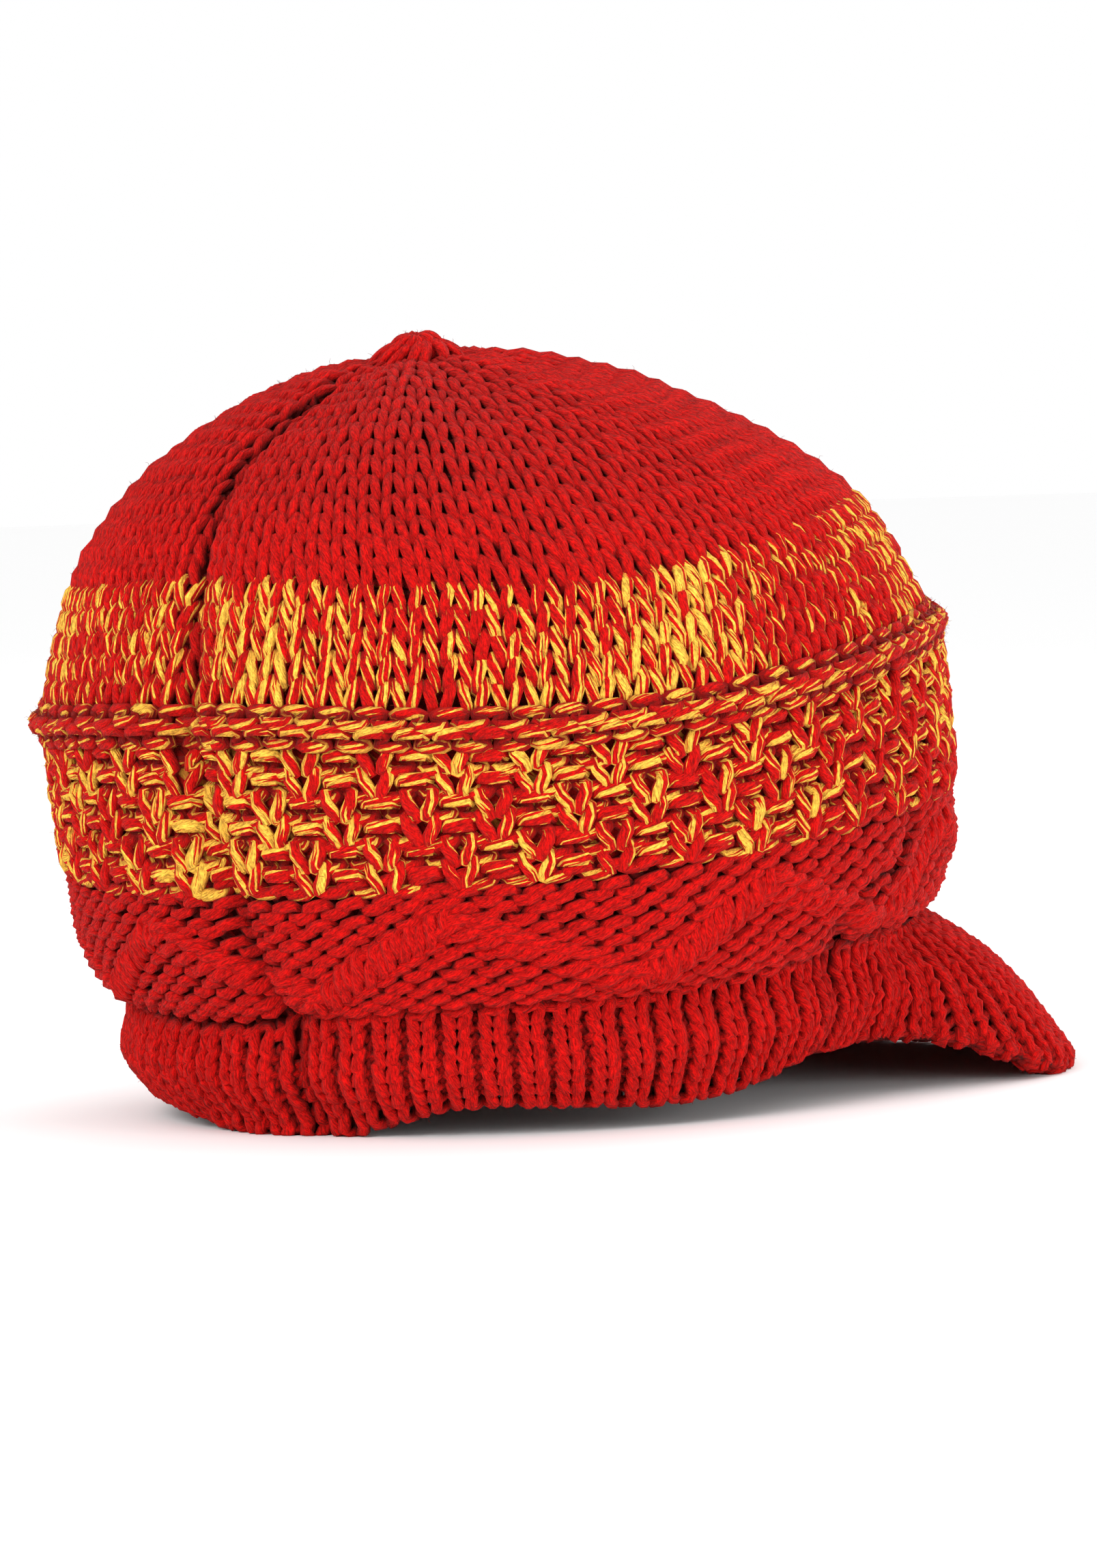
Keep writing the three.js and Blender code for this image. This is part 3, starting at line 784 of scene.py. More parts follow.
def new_piece(name, fabric, node, material, fuzz=FUZZ_COUNT):
    fabric.add_fuzz(fuzz, 5)
    piece = bpy.data.objects.new(name, fabric.build(name))
    bpy.context.collection.objects.link(piece)
    piece.data.materials.append(material)
    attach(piece, "root")
    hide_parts(node)
    return piece


# Materials

# The twist's fibres round and along the yarn, how round and how high its plies are, and how much shade is
# painted in the grooves between them
FIBRES_AROUND = 20.0
FIBRES_ALONG = 0.9
PLY_ROUND = 0.6
PLY_HEIGHT = 0.55
GROOVE_SHADE = 0.35

# Streaks of the second colour: how often along and round the yarn, and how finely
LONG_STREAKS = (0.06, 1.35, 1.0)
RAGGED_STREAKS = (0.25, 4.5, 2.0)
STREAK_EDGE = 0.015
POOL_SCALE = 28.0

# Down in the wells, where the painted shade is deepest, less of the second colour shows: from which depth
# of the painted shade, and how fast it fades
FADE_DEPTH = 0.4
FADE_RATE = 0.25

YARN_FINISH = {
    "Roughness": 0.86, "Specular IOR Level": 0.1, "Sheen Weight": 0.08, "Sheen Roughness": 0.45,
    "Sheen Tint": (1.0, 0.3, 0.25, 1.0),
}


def feed(tree, node, key, value):
    """Give an input its value, or link the socket that it comes from."""
    if isinstance(value, bpy.types.NodeSocket):
        tree.links.new(value, node.inputs[key])
    else:
        node.inputs[key].default_value = value


def wire(tree, kind, inputs=None, **settings):
    """A node whose inputs are given as values or as sockets to link."""
    node = tree.nodes.new(kind)
    for key, value in settings.items():
        setattr(node, key, value)
    for key, value in (inputs or {}).items():
        feed(tree, node, key, value)
    return node


def math_node(tree, operation, first, second=0.0, clamp=False):
    node = wire(tree, "ShaderNodeMath", {0: first, 1: second}, operation=operation, use_clamp=clamp)
    return node.outputs[0]


def new_group(name, inputs, outputs):
    group = bpy.data.node_groups.new(name, "ShaderNodeTree")
    for label, kind, default in inputs:
        socket = group.interface.new_socket(label, in_out="INPUT", socket_type=kind)
        if default is not None:
            socket.default_value = default
    for label, kind in outputs:
        group.interface.new_socket(label, in_out="OUTPUT", socket_type=kind)
    entry = group.nodes.new("NodeGroupInput")
    leave = group.nodes.new("NodeGroupOutput")
    return group, entry, leave


def yarn_twist_group():
    """Plies that wind round the yarn, with loose fibres along them."""
    group, entry, leave = new_group(
        "Yarn twist",
        [("Place", "NodeSocketVector", None), ("Plies", "NodeSocketFloat", 3.0),
         ("Turns per mm", "NodeSocketFloat", 0.05)],
        [("Height", "NodeSocketFloat"), ("Groove", "NodeSocketFloat"), ("Fibre", "NodeSocketFloat")],
    )
    split = wire(group, "ShaderNodeSeparateXYZ", {0: entry.outputs["Place"]})
    wound = math_node(group, "MULTIPLY", split.outputs[0], entry.outputs["Turns per mm"])
    phase = math_node(group, "ADD", split.outputs[1], wound)
    turns = math_node(group, "MULTIPLY", phase, entry.outputs["Plies"])
    sine = math_node(group, "SINE", math_node(group, "MULTIPLY", turns, math.pi))
    wave = math_node(group, "ABSOLUTE", sine)
    around = math_node(group, "MULTIPLY", phase, FIBRES_AROUND)
    along = math_node(group, "MULTIPLY", split.outputs[0], FIBRES_ALONG)
    spot = wire(group, "ShaderNodeCombineXYZ", {0: along, 1: around})
    fibre = wire(group, "ShaderNodeTexNoise", {
        "Vector": spot.outputs[0], "Scale": 1.0, "Detail": 3.0, "Roughness": 0.65,
    })
    ply = math_node(group, "POWER", wave, PLY_ROUND)
    height = math_node(group, "MULTIPLY_ADD", ply, PLY_HEIGHT)
    group.links.new(fibre.outputs["Fac"], height.node.inputs[2])
    group.links.new(height, leave.inputs["Height"])
    # The grooves between the plies, where shade is painted
    groove = math_node(group, "SUBTRACT", 1.0, ply, clamp=True)
    group.links.new(groove, leave.inputs["Groove"])
    group.links.new(fibre.outputs["Fac"], leave.inputs["Fibre"])
    return group


def marl_group():
    """Where the second colour of a marled yarn shows: long ragged streaks that wind with the twist."""
    group, entry, leave = new_group(
        "Marled ply",
        [("Place", "NodeSocketVector", None), ("Spot", "NodeSocketVector", None),
         ("Pooling", "NodeSocketFloat", 0.34), ("Level", "NodeSocketFloat", 0.53),
         ("Turns per mm", "NodeSocketFloat", 0.03), ("Ragged", "NodeSocketFloat", 0.24)],
        [("Mask", "NodeSocketFloat")],
    )
    split = wire(group, "ShaderNodeSeparateXYZ", {0: entry.outputs["Place"]})
    wound = math_node(group, "MULTIPLY", split.outputs[0], entry.outputs["Turns per mm"])
    phase = math_node(group, "ADD", split.outputs[1], wound)
    angle = math_node(group, "MULTIPLY", phase, 2 * math.pi)
    cos, sin = math_node(group, "COSINE", angle), math_node(group, "SINE", angle)

    def streaks(along, around, detail):
        spot = wire(group, "ShaderNodeCombineXYZ", {
            0: math_node(group, "MULTIPLY", split.outputs[0], along),
            1: math_node(group, "MULTIPLY", cos, around),
            2: math_node(group, "MULTIPLY", sin, around),
        })
        noise = wire(group, "ShaderNodeTexNoise", {
            "Vector": spot.outputs[0], "Scale": 1.0, "Detail": detail,
        })
        return noise.outputs["Fac"]

    def about_zero(value, strength):
        centred = math_node(group, "SUBTRACT", value, 0.5)
        return math_node(group, "MULTIPLY", centred, entry.outputs[strength])

    pools = wire(group, "ShaderNodeTexNoise", {
        "Vector": entry.outputs["Spot"], "Scale": POOL_SCALE, "Detail": 1.0,
    })
    ragged = about_zero(streaks(*RAGGED_STREAKS), "Ragged")
    pool = about_zero(pools.outputs["Fac"], "Pooling")
    level = math_node(group, "ADD", math_node(group, "ADD", streaks(*LONG_STREAKS), ragged), pool)
    mask = wire(group, "ShaderNodeMapRange", {
        "Value": level, "From Min": entry.outputs["Level"],
        "From Max": math_node(group, "ADD", entry.outputs["Level"], STREAK_EDGE),
        "To Min": 0.0, "To Max": 1.0,
    })
    group.links.new(mask.outputs["Result"], leave.inputs["Mask"])
    return group


def knit_shade_group():
    """Yarn colour with shade painted between the plies and down between the loops, and bright fibres that
    are partly painted highlights and partly the fibres' own tone.
    """
    group, entry, leave = new_group(
        "Knit shade",
        [("Colour", "NodeSocketColor", None), ("Deep", "NodeSocketColor", None),
         ("Groove", "NodeSocketFloat", 0.0), ("Fibre", "NodeSocketFloat", 0.5),
         ("Sunk", "NodeSocketFloat", 0.0)],
        [("Colour", "NodeSocketColor")],
    )
    # Painted shade in the grooves between the plies and down between the loops
    groove = math_node(group, "MULTIPLY", entry.outputs["Groove"], GROOVE_SHADE)
    well = wire(group, "ShaderNodeMapRange", {
        "Value": entry.outputs["Sunk"], "From Min": 0.1, "From Max": 0.9, "To Min": 0.0, "To Max": 0.95,
    })
    shade = math_node(group, "ADD", groove, well.outputs["Result"], clamp=True)
    # Bright fibres: partly painted highlights, partly the fibres' own random tone
    fibre = wire(group, "ShaderNodeMapRange", {
        "Value": entry.outputs["Fibre"], "From Min": 0.37, "From Max": 0.63, "To Min": 0.5, "To Max": 1.45,
    })
    lit = wire(group, "ShaderNodeMix", {0: 1.0, 6: entry.outputs["Colour"], 7: fibre.outputs["Result"]},
               data_type="RGBA", blend_type="MULTIPLY")
    mixed = wire(group, "ShaderNodeMix", {0: shade, 6: lit.outputs[2], 7: entry.outputs["Deep"]},
                 data_type="RGBA", blend_type="MIX")
    group.links.new(mixed.outputs[2], leave.inputs["Colour"])
    return group


def shared_group(name, make):
    return bpy.data.node_groups.get(name) or make()


def yarn_material(name, colour, deep, second=None, second_shade=None, level=None):
    """A plied yarn, marled where a second colour and the level that it shows above are given."""
    material = bpy.data.materials.new(name)
    material.use_nodes = True
    tree = material.node_tree
    shader = tree.nodes["Principled BSDF"]
    place = wire(tree, "ShaderNodeUVMap", uv_map="Yarn").outputs[0]
    # The attribute says how much shade is painted on the yarn down between the loops; the deep colours are
    # the colours of that painted shade
    sunk_shade = wire(tree, "ShaderNodeAttribute", attribute_name="sunk_shade").outputs["Fac"]
    twist = wire(tree, "ShaderNodeGroup", node_tree=shared_group("Yarn twist", yarn_twist_group))
    tree.links.new(place, twist.inputs["Place"])
    base, well = colour, deep
    if second is not None:
        marl = wire(tree, "ShaderNodeGroup", node_tree=shared_group("Marled ply", marl_group))
        tree.links.new(place, marl.inputs["Place"])
        spot = wire(tree, "ShaderNodeTexCoord").outputs["Object"]
        tree.links.new(spot, marl.inputs["Spot"])
        # Less of the second colour shows where the painted shade lies deep in the wells
        deeper = math_node(tree, "MAXIMUM", math_node(tree, "SUBTRACT", sunk_shade, FADE_DEPTH), 0.0)
        redder = math_node(tree, "MULTIPLY_ADD", deeper, FADE_RATE)
        redder.node.inputs[2].default_value = level
        tree.links.new(redder, marl.inputs["Level"])
        mask = marl.outputs["Mask"]
        mix = {"data_type": "RGBA"}
        base = wire(tree, "ShaderNodeMix", {0: mask, 6: colour, 7: second}, **mix).outputs[2]
        well = wire(tree, "ShaderNodeMix", {0: mask, 6: deep, 7: second_shade}, **mix).outputs[2]
    shade = wire(tree, "ShaderNodeGroup", node_tree=shared_group("Knit shade", knit_shade_group))
    for label, value in (("Colour", base), ("Deep", well), ("Groove", twist.outputs["Groove"]),
                         ("Fibre", twist.outputs["Fibre"]), ("Sunk", sunk_shade)):
        feed(tree, shade, label, value)
    tree.links.new(shade.outputs["Colour"], shader.inputs["Base Color"])
    relief = wire(tree, "ShaderNodeBump", {
        "Height": twist.outputs["Height"], "Strength": 0.9, "Distance": 0.0011,
    })
    tree.links.new(relief.outputs[0], shader.inputs["Normal"])
    for label, value in YARN_FINISH.items():
        shader.inputs[label].default_value = value
    return material


def colour_of(value):
    return (*value, 1.0)


def red_yarn():
    look = bpy.context.scene.knit_cap_look
    found = bpy.data.materials.get("red_yarn_knit")
    return found or yarn_material("red_yarn_knit", colour_of(look.red), colour_of(look.shade_red))


def marled_yarn():
    look = bpy.context.scene.knit_cap_look
    found = bpy.data.materials.get("marled_yarn_knit")
    return found or yarn_material(
        "marled_yarn_knit", colour_of(look.red), colour_of(look.marl_shade_red),
        colour_of(look.yellow), colour_of(look.shade_yellow), look.yellow_level,
    )


class KnitCapSizes(bpy.types.PropertyGroup):
    wales: bpy.props.IntProperty(
        name="Wales", description="Columns of stitches round the crown", default=91, min=35)
    wide_wales: bpy.props.IntProperty(
        name="Wide wales", description="Columns of stitches round the basket band and the ridge",
        default=76, min=28)
    yarn: bpy.props.FloatProperty(
        name="Yarn", description="Thickness of the yarn", default=0.0035, unit="LENGTH")
    crown_row: bpy.props.FloatProperty(
        name="Crown row", description="Height of a row of the crown", default=0.0058, unit="LENGTH")
    rib_row: bpy.props.FloatProperty(
        name="Rib row", description="Height of a row of the ribbing", default=0.0031, unit="LENGTH")


class KnitCapLook(bpy.types.PropertyGroup):
    red: bpy.props.FloatVectorProperty(
        name="Red", description="Colour of the red yarn", default=(0.56, 0.003, 0.002),
        subtype="COLOR", size=3, min=0, max=1)
    # Painted shade colour of the red yarn down between the loops
    shade_red: bpy.props.FloatVectorProperty(
        name="Deep red", description="Red yarn down between the loops", default=(0.055, 0.0006, 0.0006),
        subtype="COLOR", size=3, min=0, max=1)
    # Painted shade colour of the marled yarn's red ply down between the loops
    marl_shade_red: bpy.props.FloatVectorProperty(
        name="Marl deep red", description="Red ply of the marled yarn down between the loops",
        default=(0.17, 0.003, 0.002), subtype="COLOR", size=3, min=0, max=1)
    yellow: bpy.props.FloatVectorProperty(
        name="Yellow", description="Colour of the yellow ply", default=(0.97, 0.54, 0.065),
        subtype="COLOR", size=3, min=0, max=1)
    # Painted shade colour of the yellow ply down between the loops
    shade_yellow: bpy.props.FloatVectorProperty(
        name="Deep yellow", description="Yellow ply down between the loops", default=(0.3, 0.05, 0.008),
        subtype="COLOR", size=3, min=0, max=1)
    yellow_level: bpy.props.FloatProperty(
        name="Yellow level", description="The higher it is, the less yellow shows in the marled yarn",
        default=0.551, subtype="FACTOR", min=0, max=1)


class CAP_OT_crown(bpy.types.Operator):
    """Knit the crown, whose wales close towards the top."""
    bl_idname = "knit_cap.crown"
    bl_label = "Crown"

    def execute(self, context):
        sizes = context.scene.knit_cap_sizes
        fabric = Fabric()
        row_height = sizes.crown_row / MM
        start, end = BAND_START["crown"], APEX - CROWN_COURSES_END
        rows = round((end - start) / row_height)
        rng = np.random.default_rng(11)
        per_flute = sizes.wales // FLUTES
        for row in range(rows):
            level = (row + 0.5) / rows
            ring = skin(np.linspace(0, 2 * math.pi, 200), np.full(200, start + level * (end - start)))
            girth = np.linalg.norm(np.diff(ring, axis=0), axis=1).sum()
            while per_flute > LEAST_WALES and girth / (FLUTES * per_flute) < LEAST_WALE:
                per_flute -= 2
            wales = FLUTES * per_flute
            points = 12
            across, up, bow = courses(np.ones((1, wales)), points, **LOOPS["crown"])
            up = row + up
            share = (up + wander(rng, 1, wales, points, STRAY)) / rows
            turn = round_turn((across + wander(rng, 1, wales, points, STRAY)) / wales)
            low = crown_edge(turn)
            along = low + share * (end - low)
            lift = MIDDLE + bow + crown_relief(turn, share) + wander(rng, 1, wales, points, LIFT_STRAY)
            normal = skin_normal(turn, along)
            paths = skin(turn, along) + normal * lift[..., None]
            radius = min(CROWN_YARN * sizes.yarn / MM, CROWN_YARN_PITCH * (girth / wales))
            thick = radius * (1 + wander(rng, 1, wales, points, STRAY))
            # Shade is painted into the seam's fold, by scaling down the bow that sets the painted shade
            light = 1 - CROWN_FOLD_SHADE * crown_fold(turn, share)
            fabric.add(paths, normal, thick, bow * light, points, True, seed=100 + row)
        piece = new_piece("crown_knit", fabric, "crown", red_yarn(), fuzz=CROWN_FUZZ)
        add_web(piece, web_behind(crown_edge, crown_end, crown_relief), WEB_ROWS["crown"])
        return {"FINISHED"}


def crown_end(turn):
    return APEX - CROWN_WEB_END + 0 * turn


class CAP_OT_marl_stripe(bpy.types.Operator):
    """Knit the marled stripe below the crown."""
    bl_idname = "knit_cap.marl_stripe"
    bl_label = "Marl stripe"

    def execute(self, context):
        sizes = context.scene.knit_cap_sizes
        fabric = Fabric()
        pattern = np.ones((COURSES["marl"], sizes.wales))
        knit_round(fabric, "marl", pattern, MARL_YARN * sizes.yarn / MM, 21, twist=MARL_TWIST)
        piece = new_piece("marl_stripe_knit", fabric, "marl_stripe", marled_yarn())
        place = web_behind(*BANDS["marl"], MARL_WEB_DEPTH)
        add_web(piece, place, WEB_ROWS["marl"], shade=MARL_WEB_SHADE)
        return {"FINISHED"}


class CAP_OT_purl_ridge(bpy.types.Operator):
    """Knit the raised ridge of purl rows."""
    bl_idname = "knit_cap.purl_ridge"
    bl_label = "Purl ridge"

    def execute(self, context):
        sizes = context.scene.knit_cap_sizes
        fabric = Fabric()
        pattern = -np.ones((COURSES["ridge"], sizes.wide_wales))
        knit_round(fabric, "ridge", pattern, RIDGE_YARN * sizes.yarn / MM, 31)
        piece = new_piece("purl_ridge_knit", fabric, "purl_ridge", marled_yarn())
        add_web(piece, web_behind(*BANDS["ridge"]), WEB_ROWS["ridge"], shade=MARL_WEB_SHADE)
        return {"FINISHED"}


class CAP_OT_basket_band(bpy.types.Operator):
    """Knit the basket band: knit and purl squares that swap from tier to tier."""
    bl_idname = "knit_cap.basket_band"
    bl_label = "Basket band"

    def execute(self, context):
        sizes = context.scene.knit_cap_sizes
        fabric = Fabric(well=BASKET_WELL)
        tier = (np.arange(COURSES["basket"]) // TIER_COURSES)[:, None]
        pattern = np.where((tier + np.arange(sizes.wide_wales)[None, :]) % 2 == 0, 1.0, -1.0)
        knit_round(fabric, "basket", pattern, BASKET_YARN * sizes.yarn / MM, 41)
        piece = new_piece("basket_band_knit", fabric, "basket_band", marled_yarn())
        place = web_behind(*BANDS["basket"], BASKET_WEB_DEPTH)
        add_web(piece, place, WEB_ROWS["basket"], shade=BASKET_WEB_SHADE)
        return {"FINISHED"}


class CAP_OT_cable_band(bpy.types.Operator):
    """Knit the cable band: a purl ground with a zigzag cable over it."""
    bl_idname = "knit_cap.cable_band"
    bl_label = "Cable band"

    def execute(self, context):
        fabric = Fabric()
        pattern = -np.ones((COURSES["cable"], context.scene.knit_cap_sizes.wide_wales))
        knit_round(fabric, "cable", pattern, CABLE_YARN, 51, slip=CABLE_SLIP)
        add_cable(fabric)
        piece = new_piece("cable_band_knit", fabric, "cable_band", red_yarn())
        add_web(piece, web_behind(cable_web_edge, basket_edge, cable_relief), WEB_ROWS["cable"])
        return {"FINISHED"}


def cable_web_edge(turn):
    return cable_edge(turn) - CABLE_WEB_DROP


def leaf_strands(fabric, turn, share, length, angle, seed):
    """Long crossed stitches that lie on the band, thick in the middle and tucked in at both ends."""
    points = 11
    s = np.linspace(-0.5, 0.5, points)[None, :]
    reach = skin(turn, cable_edge(turn) + share * (basket_edge(turn) - cable_edge(turn)))
    circle = np.linalg.norm(reach[:, :2], axis=1)[:, None]
    curl = LEAF_CURL * np.sin(2 * math.pi * s)
    run = length[:, None] * s
    across = run * np.cos(angle)[:, None] - curl * length[:, None] * np.sin(angle)[:, None]
    up = run * np.sin(angle)[:, None] + curl * length[:, None] * np.cos(angle)[:, None]
    turns = turn[:, None] + across / circle
    low, high = cable_edge(turns), basket_edge(turns)
    along = low + share[:, None] * (high - low) + up
    arch = np.cos(math.pi * s) ** LEAF_ROUND
    share_here = (along - low) / (high - low)
    rise = (LEAF_HEIGHT + LEAF_TUCK) * arch
    lift = MIDDLE - LEAF_TUCK + rise + crease_relief(turns, share_here)
    normal = skin_normal(turns, along)
    paths = skin(turns, along) + normal * lift[..., None]
    thick = LEAF_RADIUS * (LEAF_TIP + (1 - LEAF_TIP) * arch)
    # The bow sets only the painted shade: darker where the stitch tucks in, and in the seam and the fold
    bow = 2 * arch * cable_light(turns, share_here)
    fabric.add(paths, normal, thick, bow, points - 1, False, seed=seed)


def add_cable(fabric):
    rng = np.random.default_rng(61)
    repeat = 2 * math.pi / CABLE_REPEATS
    for index in range(CABLE_REPEATS):
        low_turn = CABLE_FIRST_LOW + index * repeat
        for rising in (True, False):
            angles, length = LEAF_RISING if rising else LEAF_FALLING
            for lane, shift in enumerate(LEAF_LANES):
                spot = (np.arange(LEAF_COUNT) + 0.5 * lane + 0.2) / LEAF_COUNT
                if rising:
                    turn = low_turn + spot * repeat * CABLE_RISE_SHARE + shift / SIDE_REACH
                    share = CABLE_LOW + spot * (CABLE_HIGH - CABLE_LOW)
                else:
                    turn = low_turn + repeat * (CABLE_RISE_SHARE + spot * (1 - CABLE_RISE_SHARE))
                    share = CABLE_HIGH - spot * (CABLE_HIGH - CABLE_LOW) + shift / CABLE_HEIGHT
                jitter = rng.normal(0, 1, (4, LEAF_COUNT))
                aside, above, longer, turned = np.array(LEAF_STRAY)[:, None] * jitter
                leaf_strands(
                    fabric, turn + aside, share + above, length * (1 + longer),
                    math.radians(angles[lane]) + turned, 600 + 10 * index + 2 * lane + rising,
                )


def rib_pattern(ribs, rows):
    return np.tile(np.tile([1.0, -1.0], ribs), (rows, 1))


def rib_count(spread):
    """How many ribs go into a stretch of the hem, given in degrees."""
    back, side, front = section_rows[0, 2:5]
    hem = math.pi * (side + (back + front) / 2)
    return round(hem * spread / 180 / RIB_PITCH)


def rib_warp(across):
    """Knit wales spread and stand out, purl wales close up and sink between them."""
    wave = math.pi * (across - 0.5)
    return across + RIB_SPREAD * np.sin(wave), RIB_PROUD * np.cos(wave)


class CAP_OT_rib_brim(bpy.types.Operator):
    """Knit the ribbed brim round the back and sides."""
    bl_idname = "knit_cap.rib_brim"
    bl_label = "Rib brim"

    def execute(self, context):
        span = math.radians(180 - PEAK_SPREAD)
        shares, turns = even_turns(0.0, -span, span)
        ribs = rib_count(180 - PEAK_SPREAD)
        rows, points = math.ceil(RIB_HEIGHT * MM / context.scene.knit_cap_sizes.rib_row), 12
        fabric = Fabric()
        pattern = rib_pattern(ribs, rows)
        wales = 2 * ribs
        rng = np.random.default_rng(71)
        across, up, bow = courses(pattern, points, **LOOPS["rib"])
        across, out = rib_warp(across)
        turn = np.interp((across + wander(rng, rows, wales, points, RIB_STRAY)) / wales, shares, turns)
        share = (up + wander(rng, rows, wales, points, RIB_ROW_STRAY)) / rows
        low, high = rib_edge(turn), cable_edge(turn)
        along = low + share * (high - low)
        fold = crease_fold(turn, 0.0)
        lift = MIDDLE - RIB_SUNK + bow + out + seam_dent(turn, "rib", share) - RIB_CREASE_DEPTH * fold
        normal = skin_normal(turn, along)
        paths = skin(turn, along) + normal * lift[..., None]
        thick = RIB_YARN * (1 + wander(rng, rows, wales, points, RIB_ROW_STRAY))
        # Shade is painted into the seam and the crease, by scaling down the bow that sets the painted
        # shade
        light = seam_light(turn, "rib", share) * (1 - RIB_CREASE_SHADE * fold)
        fabric.add(paths, normal, thick, (bow + out) * light, points, False, seed=72)
        piece = new_piece("rib_brim_knit", fabric, "rib_brim", red_yarn())

        def web_place(x, y):
            spot = np.interp(x, shares, turns)
            away = np.degrees(np.abs(spot)) - RIB_WEB_DROP_TURN
            drop = RIB_WEB_DROP * bump(away, RIB_WEB_DROP_REACH)
            height = rib_edge(spot) + ((1 + drop) * y - drop) * (cable_edge(spot) - rib_edge(spot))
            deep = RIB_WEB_DEPTH + seam_dent(spot, "rib", y)
            return skin(spot, height) + skin_normal(spot, height) * deep[:, None]

        add_web(piece, web_place, WEB_ROWS["rib"])
        return {"FINISHED"}


def peak_skin(angle, share):
    """The peak's top skin at an angle from the front, from the rib's top out to the edge."""
    angle, share = np.broadcast_arrays(angle, share)
    reach, fall = PEAK_TABLE.at(np.abs(angle) / PEAK_SPREAD)
    turn = math.pi - np.radians(angle)
    top = cable_edge(turn)
    point = skin(turn, top + share * (rib_edge(turn) - top))
    outwards = skin_normal(turn, np.full_like(turn, BAND_START["cable"] / 2))
    outwards[..., 2] = 0.0
    outwards = unit(outwards)
    point = point + outwards * (reach * PEAK_REACH * share)[..., None]
    point[..., 2] += PEAK_ARCH * reach * np.sin(math.pi * share) - PEAK_FALL * fall * share
    return point


def peak_frame(angle, share):
    """Normal of the peak's top skin, its outward tangent and its thickness."""
    across = peak_skin(angle - 1, share) - peak_skin(angle + 1, share)
    ahead, behind = np.minimum(share + 0.02, 1), np.maximum(share - 0.02, 0)
    down = unit(peak_skin(angle, ahead) - peak_skin(angle, behind))
    normal = unit(np.cross(down, across))
    reach = PEAK_TABLE.at(np.abs(angle) / PEAK_SPREAD)[0]
    return normal, down, WALL + (PEAK_THICKNESS - WALL) * reach


def peak_length(angle):
    shares = np.linspace(0, 1, 21)
    points = peak_skin(angle[:, None], shares[None, :])
    return np.linalg.norm(np.diff(points, axis=1), axis=2).sum(axis=1)


